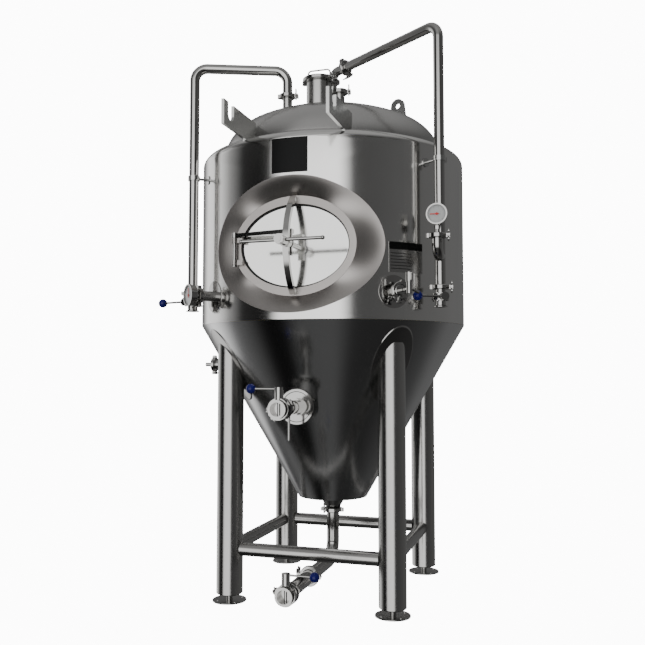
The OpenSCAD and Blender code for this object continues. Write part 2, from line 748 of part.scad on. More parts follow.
// Branch that leaves the cleaning arm forwards and turns up under the pressure gauge
module gauge_stub(r, d, over) {
    neck = 24;
    start_z = gauge_port_z - neck;
    translate([cip_foot[0], cip_foot[1] - gauge_out, start_z]) {
        rotate([0, 0, 90]) translate([r, 0, 0]) rotate([90, 0, 0]) rotate([0, 0, 180])
            rotate_extrude(angle = 90) translate([r, 0]) circle(d = d);
        cylinder(d = d, h = neck - 6 + over);
    }
    translate([cip_foot[0], cip_foot[1] - gauge_out + r, start_z - r]) rotate([-90, 0, 0])
        cylinder(d = d, h = gauge_out - r);
}

module cip_elbow() {
    r = cip_top_z - CIP_PORT[2] - 1;
    color(POLISHED) translate([0, 0, CIP_PORT[2]]) rotate([0, 0, cip_az - 90]) {
        rotate([180, 0, 0]) ferrule_short(PIPE15);
        translate([0, 0, 1]) bend(PIPE15, r);
        translate([elbow_out, 0, r + 1]) rotate([0, 90, 0]) {
            tube(PIPE15, r - elbow_out, -5);
            ferrule(PIPE15);
        }
    }
}

// Ferrule without its straight end
module ferrule_short(p) {
    rotate_extrude() polygon([[p[1] / 2, -joint_gap], [p[2] / 2, -joint_gap], [p[2] / 2, -joint_gap - 3],
        [p[2] / 2 - 6.5, -joint_gap - 6.5], [p[1] / 2, -joint_gap - 6.5]]);
}

module spray_ball() {
    r = 32;
    wall = 1.5;
    stem_r = 12.7;
    z = 1850;
    top = CIP_PORT[2] - 18;
    color(POLISHED) difference() {
        rotate_extrude() polygon(concat([[stem_r - wall, top], [stem_r, top]],
            arc(0, z, r, acos(stem_r / r), -90, 18),
            arc(0, z, r - wall, -90, acos((stem_r - wall) / (r - wall)), 18)));
        for (a = [0:45:135]) translate([0, 0, z + 4]) rotate([0, 90, a])
            cylinder(d = 3, h = 80, center = true, $fn = 16);
    }
}

// Clip around an arm pipe with a rod to a pad on the jacket
module arm_bracket(az, r, z) {
    p = PIPE15;
    rotate([0, 0, az]) difference() {
        union() {
            translate([0, -r, z - 9]) cylinder(d = p[0] + 8, h = 18);
            translate([0, -tank_r + 20, z]) rotate([90, 0, 0]) cylinder(d = 10, h = r - tank_r + 2, $fn = 32);
            translate([0, -tank_r + 4, z]) rotate([90, 0, 0]) cylinder(d = 34, h = 7);
            translate([26, -r, z]) cube([16, 12, 18], center = true);
        }
        translate([0, -r, z - 20]) cylinder(d = p[0] + 0.1, h = 40);
        translate([0, 0, z - 40]) cylinder(r = tank_r + 0.15, h = 80, $fn = 180);
        translate([22, -r, z]) cube([30, 2, 30], center = true);
    }
}

module arm_brackets() {
    color(STEEL) {
        arm_bracket(gas_az, gas_arm_r, 1626);
        arm_bracket(cip_az, cip_arm_r, 1643);
    }
}

// ---- clamps: every joint with its pipe size and the azimuth of its bolt ----

module all_joints(k) {
    translate(GAS_PORT) rotate([0, 0, 10]) joint_part(k, PIPE15);
    translate(SPARE_PORT) rotate([0, 0, 10]) joint_part(k, PIPE15);
    translate(HOP_PORT) rotate([0, 0, -8]) joint_part(k, PIPE40);
    translate(CIP_PORT) rotate([0, 0, -75]) joint_part(k, PIPE15);
    translate([0, 0, cip_top_z]) rotate([0, 0, cip_az - 90]) translate([elbow_out, 0, 0])
        rotate([0, 90, 0]) rotate([0, 0, 38]) joint_part(k, PIPE15);
    translate([gas_foot[0], gas_foot[1], arm_end_z]) rotate([0, 0, 190]) joint_part(k, PIPE15);
    translate([cip_foot[0], cip_foot[1], arm_end_z]) rotate([0, 0, 15]) joint_part(k, PIPE15);
    translate([cip_foot[0], cip_foot[1] - gauge_out, gauge_port_z])
        rotate([0, 0, 12]) joint_part(k, PIPE15);
    radial(THERMO_PORT[0], THERMO_PORT[1], THERMO_PORT[3]) rotate([0, 0, -90]) joint_part(k, PIPE15);
    radial(SAMPLE_PORT[0], SAMPLE_PORT[1], SAMPLE_PORT[3]) rotate([0, 0, -110]) joint_part(k, PIPE15);
    radial(PROBE_PORT[0], PROBE_PORT[1], PROBE_PORT[3]) rotate([0, 0, -90]) joint_part(k, PIPE15);
    radial(0, racking_z, racking_face_y) rotate([0, 0, 200]) joint_part(k, PIPE40);
    translate([0, 0, vessel_seam_z(PIPE20[0] / 2) - 3.5 - joint_gap]) rotate([0, 0, 180])
        joint_part(k, PIPE20);
    radial(0, dump_z, dump_joint_y) rotate([0, 0, 180]) joint_part(k, PIPE20);
    radial(0, dump_z, dump_end_y - valve20_len) rotate([0, 0, 200]) joint_part(k, PIPE20);
}

module joint_part(k, p) {
    if (k == "band") clamp_band(p);
    if (k == "nut") wing_nut(p);
    if (k == "gasket") difference() {
        cylinder(d = p[2] - 2, h = gasket_t - 0.1, center = true);
        cylinder(d = p[1] + 0.4, h = 4, center = true);
    }
}

module clamp_bands() { color(POLISHED) all_joints("band"); }
module clamp_wing_nuts() { color(POLISHED) all_joints("nut"); }
module port_gaskets() { color(RUBBER) all_joints("gasket"); }

module port_caps() {
    color(POLISHED) {
        translate([SPARE_PORT[0], SPARE_PORT[1], SPARE_PORT[2] + joint_gap]) cap(PIPE15);
        radial(PROBE_PORT[0], PROBE_PORT[1], PROBE_PORT[3] + joint_gap) {
            cap(PIPE15);
            cylinder(d = 17, h = 40, $fn = 32);
        }
    }
}

module cap(p) {
    cylinder(d = p[2], h = 3);
    translate([0, 0, 3]) cylinder(d1 = p[2], d2 = p[2] - 13, h = 3.5);
}

module escutcheons() {
    color(POLISHED) for (p = [THERMO_PORT, SAMPLE_PORT]) difference() {
        radial(p[0], p[1], tank_r - 20) cylinder(d = 118, h = 40);
        radial(p[0], p[1], tank_r - 40) cylinder(d = PIPE15[0] + 0.6, h = 100);
        translate([0, 0, 1000]) cylinder(r = tank_r + 0.2, h = 400, $fn = 180);
        difference() {
            translate([0, 0, 900]) cylinder(r = tank_r + 100, h = 500);
            translate([0, 0, 890]) cylinder(r = tank_r + 2.4, h = 520, $fn = 180);
        }
    }
}

// ---- racking line ----

collar_y = 535;

// Cap on the racking port with the gland that the draw-off tube turns in
module racking_gland() {
    z0 = racking_face_y + joint_gap;
    color(POLISHED) radial(0, racking_z, z0) difference() {
        union() {
            cap(PIPE40);
            cylinder(d = 62, h = 24);
            cylinder(d = 50, h = 48);
        }
        translate([0, 0, -1]) cylinder(d = PIPE15[0] + 2 * fit, h = 60);
    }
}

// Solid of the draw-off tube's path at a diameter: straight, then a tip turned down at 45 degrees
module draw_off_path(d, over) {
    inner_y = 190;
    tip = 126;
    radial(0, racking_z, inner_y) cylinder(d = d, h = racking_joint_y - 11 - inner_y + over);
    translate([0, -inner_y, racking_z]) {
        sphere(d = d + 0.6);
        rotate([-135, 0, 0]) cylinder(d = d, h = tip + over);
    }
}

racking_joint_y = racking_end_y - valve20_len;

// Draw-off tube inside the cone; its collar and rod turn it from outside, valve and all
module racking_arm() {
    rod_len = 113;
    color(POLISHED) difference() {
        union() {
            draw_off_path(PIPE15[0], 0);
            radial(0, racking_z, collar_y - 9) cylinder(d = 50, h = 18);
            translate([0, -collar_y, racking_z - rod_len]) cylinder(d = 9, h = rod_len, $fn = 32);
            radial(0, racking_z, racking_joint_y) solid_reducer(PIPE15, PIPE20);
        }
        draw_off_path(PIPE15[1], 15);
    }
}

// Reducer from a small pipe to the ferrule of a large one, without its bore
module solid_reducer(small, large) {
    rotate_extrude() polygon([[0, -34], [small[0] / 2 + 0.5, -34], [large[0] / 2, -22],
        [large[0] / 2, -joint_gap - 6.5], [large[2] / 2, -joint_gap - 3], [large[2] / 2, -joint_gap],
        [0, -joint_gap]]);
}

module racking_clamp() {
    color(POLISHED) radial(0, racking_z, racking_joint_y) rotate([0, 0, 215]) {
        clamp_band(PIPE20);
        wing_nut(PIPE20);
    }
}

dump_joint_y = 307;

module dump_pipe() {
    top_z = vessel_seam_z(PIPE20[0] / 2) - 3.5 - joint_gap;
    r = 76;
    color(POLISHED) {
        translate([0, 0, top_z]) ferrule(PIPE20);
        tube(PIPE20, dump_z + r, top_z - 11);
        translate([0, 0, dump_z + r]) rotate([180, 0, 0]) rotate([0, 0, 90]) bend(PIPE20, r);
        radial(0, dump_z) {
            tube(PIPE20, r, dump_joint_y - 11);
            translate([0, 0, dump_joint_y]) ferrule(PIPE20);
            translate([0, 0, dump_joint_y]) rotate([180, 0, 0]) ferrule(PIPE20);
            tube(PIPE20, dump_joint_y + 11, dump_end_y - valve20_len - 11);
            translate([0, 0, dump_end_y - valve20_len]) ferrule(PIPE20);
        }
    }
}

// ---- instruments ----

gauge_d = 75;
thermo_d = 84;

// Dial case along local +z with its front at z = depth
module dial_case(d, depth) {
    difference() {
        union() {
            cylinder(d = d - 6, h = depth - 8);
            translate([0, 0, depth - 9]) cylinder(d = d, h = 9);
        }
        translate([0, 0, depth - 6]) cylinder(d = d - 10, h = 8);
    }
    translate([0, 0, depth - 7]) cylinder(d = 5, h = 3, $fn = 24);
}

module dial_needle(d, depth) {
    translate([0, 0, depth - 3.7]) {
        cylinder(d = 9, h = 2, $fn = 32);
        translate([-1.5, -d * 0.12, 0]) cube([3, d * 0.44, 1.6]);
    }
}

module thermometer_place() { radial(THERMO_PORT[0], THERMO_PORT[1], THERMO_PORT[3] + joint_gap) children(); }

thermo_front = 46;

module thermometer() {
    color(POLISHED) thermometer_place() {
        cap(PIPE15);
        cylinder(d = 18, h = 28, $fn = 32);
        translate([0, 0, 20]) dial_case(thermo_d, thermo_front - 20);
        translate([0, 0, -210]) cylinder(d = 9, h = 212, $fn = 32);
    }
}

module thermometer_needle() { color("red") thermometer_place() dial_needle(thermo_d, thermo_front); }

gauge_z = 1428;
module gauge_place() {
    translate([cip_foot[0], cip_foot[1] - gauge_out, gauge_z]) rotate([90, 0, 0])
        children();
}
gauge_front = 16;

module pressure_gauge() {
    color(POLISHED) {
        gauge_place() translate([0, 0, -gauge_front]) dial_case(gauge_d, 2 * gauge_front);
        translate([cip_foot[0], cip_foot[1] - gauge_out, gauge_port_z + joint_gap]) {
            cap(PIPE15);
            cylinder(d = 12, h = gauge_z - gauge_port_z - 30, $fn = 32);
            translate([0, 0, 22]) cylinder(d = 20, h = 12, $fn = 6);
        }
    }
}

module pressure_gauge_needle() {
    color("red") gauge_place() rotate([0, 0, 90]) dial_needle(gauge_d, gauge_front);
}

module sample_place() { radial(SAMPLE_PORT[0], SAMPLE_PORT[1], SAMPLE_PORT[3] + joint_gap) children(); }

sample_out = 66;

module sample_valve_body() {
    color(POLISHED) sample_place() difference() {
        union() {
            cap(PIPE15);
            cylinder(d = 14, h = sample_out);
            translate([0, -16, sample_out]) rotate([-90, 0, 0]) cylinder(d = 20, h = 38);
            translate([0, 2, sample_out]) rotate([90, 0, 0]) rotate([0, 68, 0]) cylinder(d = 9, h = 40, $fn = 32);
        }
        translate([0, 0, -1]) cylinder(d = 8, h = sample_out, $fn = 32);
        translate([0, 4, sample_out]) rotate([-90, 0, 0]) cylinder(d = 10, h = 40, $fn = 32);
    }
}

module sample_valve_knob() {
    color(POLISHED) sample_place() translate([0, 0, sample_out]) rotate([-90, 0, 0]) {
        translate([0, 0, 6]) cylinder(d = 10 - 2 * fit, h = 20, $fn = 32);
        translate([0, 0, 22 + gap]) difference() {
            cylinder(d = 25, h = 34);
            translate([-5, -20, 7]) cube([10, 40, 40]);
        }
    }
}

// ---- valves ----

module gas_valve_body() { color(POLISHED) gas_valve_place() valve_body(PIPE15, valve15_len, arm_stem); }
module gas_valve_disc() { color(POLISHED) gas_valve_place() valve_disc(PIPE15, valve15_len, arm_stem); }
module gas_valve_handle() { color(POLISHED) gas_valve_place() valve_handle(valve15_len, arm_stem, gas_rod); }
module gas_valve_knob() { color("midnightblue") gas_valve_place() valve_knob(valve15_len, arm_stem, gas_rod); }

module cip_valve_body() { color(POLISHED) cip_valve_place() valve_body(PIPE15, valve15_len, arm_stem); }
module cip_valve_disc() { color(POLISHED) cip_valve_place() valve_disc(PIPE15, valve15_len, arm_stem); }
module cip_valve_handle() { color(POLISHED) cip_valve_place() valve_handle(valve15_len, arm_stem, cip_rod); }
module cip_valve_knob() { color("midnightblue") cip_valve_place() valve_knob(valve15_len, arm_stem, cip_rod); }

module racking_valve_body() { color(POLISHED) racking_valve_place() valve_body(PIPE20, valve20_len, front_stem); }
module racking_valve_disc() { color(POLISHED) racking_valve_place() valve_disc(PIPE20, valve20_len, front_stem); }
module racking_valve_handle() { color(POLISHED) racking_valve_place() valve_handle(valve20_len, front_stem, front_rod); }
module racking_valve_knob() { color("midnightblue") racking_valve_place() valve_knob(valve20_len, front_stem, front_rod); }

module dump_valve_body() { color(POLISHED) dump_valve_place() valve_body(PIPE20, valve20_len, front_stem); }
module dump_valve_disc() { color(POLISHED) dump_valve_place() valve_disc(PIPE20, valve20_len, front_stem); }
module dump_valve_handle() { color(POLISHED) dump_valve_place() valve_handle(valve20_len, front_stem, front_rod); }
module dump_valve_knob() { color("midnightblue") dump_valve_place() valve_knob(valve20_len, front_stem, front_rod); }

inner_vessel();
cooling_jackets();
insulation_foam();
jacket_shell();
cone_cladding();
manway_collar();
manway_neck();
manway_hinge_pin();
manway_door();
manway_gasket();
manway_spindle();
manway_yoke();
manway_handle();
manway_swing_arm();
leg_front_left();
leg_front_right();
leg_rear_left();
leg_rear_right();
leg_crossbars();
levelling_feet();
name_plates();
ladder_hooks();
lifting_lugs();
hop_port_lid();
gas_arm_pipe();
cip_arm_pipe();
cip_elbow();
spray_ball();
arm_brackets();
clamp_bands();
clamp_wing_nuts();
port_gaskets();
port_caps();
escutcheons();
racking_gland();
racking_arm();
racking_clamp();
dump_pipe();
sample_valve_body();
sample_valve_knob();
thermometer();
thermometer_needle();
pressure_gauge();
pressure_gauge_needle();
gas_valve_body();
gas_valve_disc();
gas_valve_handle();
gas_valve_knob();
cip_valve_body();
cip_valve_disc();
cip_valve_handle();
cip_valve_knob();
racking_valve_body();
racking_valve_disc();
racking_valve_handle();
racking_valve_knob();
dump_valve_body();
dump_valve_disc();
dump_valve_handle();
dump_valve_knob();
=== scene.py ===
"""Looks of the conical fermenter: smooth surfaces, finishes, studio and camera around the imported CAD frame."""

from __future__ import annotations

import json
import logging
import math
from collections.abc import Sequence
from dataclasses import dataclass, field
from enum import Enum

import bpy
import numpy as np
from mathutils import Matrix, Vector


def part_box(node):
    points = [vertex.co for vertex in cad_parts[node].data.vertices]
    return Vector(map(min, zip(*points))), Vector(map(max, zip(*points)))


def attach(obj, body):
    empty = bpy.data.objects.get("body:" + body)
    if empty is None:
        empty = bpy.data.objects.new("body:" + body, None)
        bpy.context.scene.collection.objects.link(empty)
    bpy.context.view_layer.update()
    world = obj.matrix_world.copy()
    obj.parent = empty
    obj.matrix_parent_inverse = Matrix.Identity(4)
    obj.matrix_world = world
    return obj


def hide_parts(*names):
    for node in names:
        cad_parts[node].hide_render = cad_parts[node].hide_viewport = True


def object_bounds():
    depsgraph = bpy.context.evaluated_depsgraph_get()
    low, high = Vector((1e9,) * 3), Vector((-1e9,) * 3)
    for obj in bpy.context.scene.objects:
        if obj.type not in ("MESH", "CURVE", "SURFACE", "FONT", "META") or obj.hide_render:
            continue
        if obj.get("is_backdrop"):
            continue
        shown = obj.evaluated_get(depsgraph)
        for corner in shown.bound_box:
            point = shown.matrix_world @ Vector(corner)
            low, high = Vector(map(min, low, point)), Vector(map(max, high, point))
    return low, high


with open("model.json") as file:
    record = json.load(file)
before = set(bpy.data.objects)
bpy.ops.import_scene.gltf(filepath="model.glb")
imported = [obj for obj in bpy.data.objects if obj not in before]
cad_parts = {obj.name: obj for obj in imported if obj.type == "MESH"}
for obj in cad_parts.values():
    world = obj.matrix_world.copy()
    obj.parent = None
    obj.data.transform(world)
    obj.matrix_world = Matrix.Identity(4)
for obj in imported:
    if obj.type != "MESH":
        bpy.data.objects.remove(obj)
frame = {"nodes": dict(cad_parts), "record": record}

LOG = logging.getLogger("fermenter")
MM = 0.001
TINY = 1e-9
PIECE_SHARP = 35
NODE_SHARP = 30
CONE_SLOPE = math.tan(math.radians(30))
UP = np.array([0.0, 0.0, 1.0])
FRONT = np.array([0.0, -1.0, 0.0])


class Slot(Enum):
    """Material slots of the record."""

    VESSEL = "vessel_steel"
    JACKET = "jacket_steel"
    CONE = "cone_steel"
    COOLANT = "coolant_steel"
    FOAM = "foam"
    MANWAY = "manway_steel"
    DOOR = "door_steel"
    RUBBER = "seal_rubber"
    LEG = "leg_steel"
    PLATE = "plate_steel"
    NAME = "plate_finish"
    NEEDLE = "needle_red"
    KNOB = "knob_blue"
    POLISHED = "polished_steel"


class Grain(Enum):
    """Direction that the brushing lines run in."""

    NONE = "none"
    LEVEL = "level"
    UPRIGHT = "upright"


@dataclass(frozen=True)
class Finish:
    """One procedural surface finish.

    Args:
        colour: sRGB colour as a hex string.
        metallic: 1 for bare metal, 0 for paint, plastic or rubber.
        roughness: mean roughness.
        spread: how far the roughness wanders from its mean.
        grain: direction of the brushing lines.
        grain_mm: pitch across the brushing lines, in millimetres.
        bump: depth of the brushing lines, in millimetres.
        coat: strength of a clear coat.
        shine: specular level of what isn't metal; 0.5 is the plain value.
    """

    colour: str
    metallic: float = 1.0
    roughness: float = 0.2
    spread: float = 0.03
    grain: Grain = Grain.NONE
    grain_mm: float = 1.2
    bump: float = 0.0
    coat: float = 0.0
    shine: float = 0.5


FINISHES: dict[Slot, Finish] = {
    Slot.VESSEL: Finish("#b9b8b6", roughness=0.26, spread=0.01, bump=0.002),
    Slot.JACKET: Finish("#d6d5d3", roughness=0.15, spread=0.012, grain=Grain.UPRIGHT, bump=0.002),
    Slot.CONE: Finish("#c8c8c8", roughness=0.2, spread=0.008, grain=Grain.UPRIGHT, bump=0.002),
    Slot.COOLANT: Finish("#b8babd", roughness=0.35),
    Slot.FOAM: Finish("#d8c894", metallic=0.0, roughness=0.9, spread=0.05),
    Slot.MANWAY: Finish("#a8a4a1", roughness=0.4, spread=0.02, grain=Grain.LEVEL, bump=0.001),
    Slot.DOOR: Finish("#d6d6d4", roughness=0.12, spread=0.01),
    Slot.RUBBER: Finish("#161616", metallic=0.0, roughness=0.6, spread=0.08),
    Slot.LEG: Finish("#a9a8a6", roughness=0.22, spread=0.015, grain=Grain.UPRIGHT, bump=0.001),
    Slot.PLATE: Finish("#c4c4c2", roughness=0.22, spread=0.03, grain=Grain.LEVEL, bump=0.001),
    Slot.NAME: Finish("#020202", metallic=0.0, roughness=0.35, spread=0.03, shine=0.15),
    Slot.NEEDLE: Finish("#b01814", metallic=0.0, roughness=0.35, spread=0.03),
    Slot.KNOB: Finish("#08084e", metallic=0.0, roughness=0.25, spread=0.02, shine=0.3),
    Slot.POLISHED: Finish("#aeadab", roughness=0.11, spread=0.01),
}
DARK_LABEL = Finish("#060606", metallic=0.0, roughness=0.4, shine=0.15)
PALE_LABEL = Finish("#b0afad", roughness=0.24)
DIAL_FACE = Finish("#8d8f8e", metallic=0.0, roughness=0.3, coat=0.6)
DIAL_TICK = Finish("#202020", metallic=0.0, roughness=0.5)
FLOOR = Finish("#f4f4f4", metallic=0.0, roughness=0.9)


def linear(colour: str) -> tuple[float, float, float, float]:
    """Linear RGBA of an sRGB hex colour: below 0.04045 divided by 12.92, above by the 2.4 power law.

    Args:
        colour: six hex digits, with or without a leading hash.

    Returns:
        Red, green, blue and alpha.
    """
    h = colour.lstrip("#")
    parts = [int(h[i : i + 2], 16) / 255 for i in (0, 2, 4)]
    r, g, b = (c / 12.92 if c <= 0.04045 else ((c + 0.055) / 1.055) ** 2.4 for c in parts)
    return r, g, b, 1.0


def add_node(
    tree: bpy.types.NodeTree, kind: str, settings: dict | None = None, links: dict | None = None
) -> bpy.types.Node:
    """Adds one shader node.

    Args:
        tree: the node tree that gets it.
        kind: Blender's class name of the node.
        settings: attribute or input name to value; an input wins over an attribute of the same name.
        links: input name or index to the output socket that feeds it.

    Returns:
        The node.
    """
    node = tree.nodes.new(kind)
    for key, value in (settings or {}).items():
        if isinstance(key, int) or key in node.inputs:
            node.inputs[key].default_value = value
        else:
            setattr(node, key, value)
    for key, socket in (links or {}).items():
        tree.links.new(socket, node.inputs[key])
    return node


@dataclass
class MaterialKit:
    """Makes each finish's material once."""

    made: dict[str, bpy.types.Material] = field(default_factory=dict)

    def get(self, name: str, finish: Finish) -> bpy.types.Material:
        """The material of a finish.

        Args:
            name: name of the material.
            finish: its finish.

        Returns:
            The material, with colour, roughness and bump all driven by noise in millimetres.
        """
        if name in self.made:
            return self.made[name]
        mat = bpy.data.materials.new(name)
        mat.use_nodes = True
        tree = mat.node_tree
        tree.nodes.clear()
        place = add_node(tree, "ShaderNodeTexCoord").outputs["Object"]
        along = {Grain.NONE: (1, 1, 1), Grain.LEVEL: (0.02, 0.02, 1), Grain.UPRIGHT: (1, 1, 0.012)}
        stretch = tuple(s / (finish.grain_mm * MM) for s in along[finish.grain])
        lines = add_node(tree, "ShaderNodeMapping", {"Scale": stretch}, {"Vector": place})
        fine = add_node(tree, "ShaderNodeTexNoise", {"Scale": 1.0, "Detail": 2.0}, {"Vector": lines.outputs[0]})
        cloud = add_node(tree, "ShaderNodeTexNoise", {"Scale": 6.0, "Detail": 3.0}, {"Vector": place})
        both = add_node(tree, "ShaderNodeMix", {"Factor": 0.5}, {"A": fine.outputs[0], "B": cloud.outputs[0]})
        span = {"From Min": 0.3, "From Max": 0.7}
        limits = {"To Min": finish.roughness - finish.spread, "To Max": finish.roughness + finish.spread}
        rough = add_node(tree, "ShaderNodeMapRange", span | limits, {"Value": both.outputs[0]})
        shade = {"To Min": 0.96, "To Max": 1.0}
        wear = add_node(tree, "ShaderNodeMapRange", span | shade, {"Value": cloud.outputs[0]})
        plain = {"operation": "SCALE", 0: linear(finish.colour)[:3]}
        tint = add_node(tree, "ShaderNodeVectorMath", plain, {"Scale": wear.outputs[0]})
        shader = add_node(
            tree,
            "ShaderNodeBsdfPrincipled",
            {"Metallic": finish.metallic, "Coat Weight": finish.coat, "Specular IOR Level": finish.shine},
            {"Base Color": tint.outputs[0], "Roughness": rough.outputs[0]},
        )
        if finish.bump > 0:
            depth = {"Strength": 0.3, "Distance": finish.bump * MM}
            bump = add_node(tree, "ShaderNodeBump", depth, {"Height": fine.outputs[0]})
            tree.links.new(bump.outputs[0], shader.inputs["Normal"])
        add_node(tree, "ShaderNodeOutputMaterial", links={"Surface": shader.outputs[0]})
        self.made[name] = mat
        return mat


# ---- surfaces ----


def grid_faces(rows: int, cols: int, wrap: bool) -> np.ndarray:
    """Quads of a grid of points, row by row.

    Args:
        rows: number of rows.
        cols: number of points in a row.
        wrap: True if the last column joins the first.

    Returns:
        One row of four point numbers per quad.
    """
    i, j = np.meshgrid(np.arange(rows - 1), np.arange(cols if wrap else cols - 1), indexing="ij")
    k = (j + 1) % cols
    return np.stack([i * cols + j, i * cols + k, (i + 1) * cols + k, (i + 1) * cols + j], -1).reshape(-1, 4)


@dataclass
class Surface:
    """Points in metres and faces by point number."""

    points: np.ndarray
    faces: list[np.ndarray]

    def __add__(self, other: Surface) -> Surface:
        """The two surfaces as one."""
        shift = len(self.points)
        return Surface(np.vstack([self.points, other.points]), self.faces + [f + shift for f in other.faces])

    def placed(self, matrix: np.ndarray, move: np.ndarray) -> Surface:
        """The surface turned and then moved.

        Args:
            matrix: 3 by 3 rotation.
            move: shift in metres.

        Returns:
            A new surface.
        """
        return Surface(self.points @ np.asarray(matrix).T + np.asarray(move), self.faces)


def revolve(profile: np.ndarray, cols: int = 192) -> Surface:
    """Surface of revolution about +Z: x is r cos(a), y is r sin(a), z is the profile's own.

    Args:
        profile: rows of radius and height in metres. Going up, the outside is on the right.
        cols: points round the axis.

    Returns:
        The surface. A row of zero radius at either end is a pole, closed by a fan.
    """
    a = np.linspace(0, 2 * np.pi, cols, endpoint=False)
    bottom, top = profile[[0, -1], 0] < TINY
    r, z = profile[int(bottom) : len(profile) - int(top)].T
    pts = np.stack([np.outer(r, np.cos(a)), np.outer(r, np.sin(a)), np.outer(z, np.ones(cols))], -1).reshape(-1, 3)
    faces = [grid_faces(len(r), cols, True)]
    for is_pole, row, height in ((bottom, 0, profile[0, 1]), (top, len(r) - 1, profile[-1, 1])):
        if is_pole:
            here = np.arange(cols) + row * cols
            after = np.roll(here, -1)
            tip = np.full(cols, len(pts))
            faces.append(np.stack([tip, after, here] if row == 0 else [tip, here, after], -1))
            pts = np.vstack([pts, [[0, 0, height]]])
    return Surface(pts, faces)


def joined(surfaces: list[Surface]) -> Surface:
    """Several surfaces as one.

    Args:
        surfaces: at least one surface.

    Returns:
        The whole, in the order given.
    """
    return sum(surfaces[1:], surfaces[0])


def turned(axis: np.ndarray) -> np.ndarray:
    """Rotation that takes +Z to an axis.

    Args:
        axis: the direction, of any length.

    Returns:
        A 3 by 3 matrix whose third column is the axis.
    """
    z = np.asarray(axis, float) / np.linalg.norm(axis)
    side = np.cross([0, 0, 1], z)
    if np.linalg.norm(side) < TINY:
        return np.eye(3) if z[2] > 0 else np.diag([1.0, -1.0, -1.0])
    x = side / np.linalg.norm(side)
    return np.stack([x, np.cross(z, x), z], 1)


def sweep(path: np.ndarray, radius: float, cols: int = 48) -> Surface:
    """Tube along a path: each ring lies across the mean of the directions before and after its point.

    Args:
        path: points in metres.
        radius: tube radius in metres.
        cols: points round the tube.

    Returns:
        The tube, with a flat end at both ends.
    """
    steps = np.diff(path, axis=0)
    steps /= np.linalg.norm(steps, axis=1)[:, None]
    along = np.vstack([steps[:1], steps[:-1] + steps[1:], steps[-1:]])
    along /= np.linalg.norm(along, axis=1)[:, None]
    normal = np.cross(path[-1] - path[0], path[len(path) // 2] - path[0])
    if np.linalg.norm(normal) < TINY:
        normal = np.cross(along[0], [0.3, 0.5, 0.8])
    normal /= np.linalg.norm(normal)
    side = np.cross(normal, along)
    side /= np.linalg.norm(side, axis=1)[:, None]
    up = np.cross(along, side)
    a = np.linspace(0, 2 * np.pi, cols, endpoint=False)
    ring = side[:, None, :] * np.cos(a)[None, :, None] + up[:, None, :] * np.sin(a)[None, :, None]
    pts = (path[:, None, :] + radius * ring).reshape(-1, 3)
    n = len(path)
    ends = [np.arange(cols)[::-1][None, :], (np.arange(cols) + (n - 1) * cols)[None, :]]
    return Surface(pts, [grid_faces(n, cols, True)] + ends)


def polar(azimuth: float, radius: float, height: float) -> np.ndarray:
    """Point at an azimuth: x is the radius times its sine, y is minus the radius times its cosine.

    Args:
        azimuth: degrees from -Y towards +X.
        radius: distance from the axis, in millimetres.
        height: height in millimetres.

    Returns:
        The point in metres.
    """
    a = math.radians(azimuth)
    return np.array([radius * math.sin(a), -radius * math.cos(a), height]) * MM


@dataclass
class Builder:
    """Turns surfaces into pieces that ride on the CAD bodies."""

    kit: MaterialKit
    count: int = 0

    def piece(
        self,
        name: str,
        surface: Surface,
        slot: Slot,
        replaces: tuple[str, ...] = (),
        body: str = "root",
        finish: Finish | None = None,
    ) -> None:
        """Makes one piece.

        Args:
            name: name of the piece.
            surface: its surface.
            slot: the record's material slot.
            replaces: CAD nodes that it stands for.
            body: CAD body that it rides on.
            finish: finish if it isn't the slot's own.
        """
        mesh = bpy.data.meshes.new(name)
        mesh.from_pydata(surface.points.tolist(), [], [f for block in surface.faces for f in block.tolist()])
        mesh.validate()
        mesh.shade_smooth()
        mesh.set_sharp_from_angle(angle=math.radians(PIECE_SHARP))
        obj = bpy.data.objects.new(name, mesh)
        bpy.context.scene.collection.objects.link(obj)
        mesh.materials.append(self.kit.get(name if finish else slot.value, finish or FINISHES[slot]))
        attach(obj, body)
        if replaces:
            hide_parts(*replaces)
        self.count += 1
        LOG.info("%s: %d points", name, len(mesh.vertices))


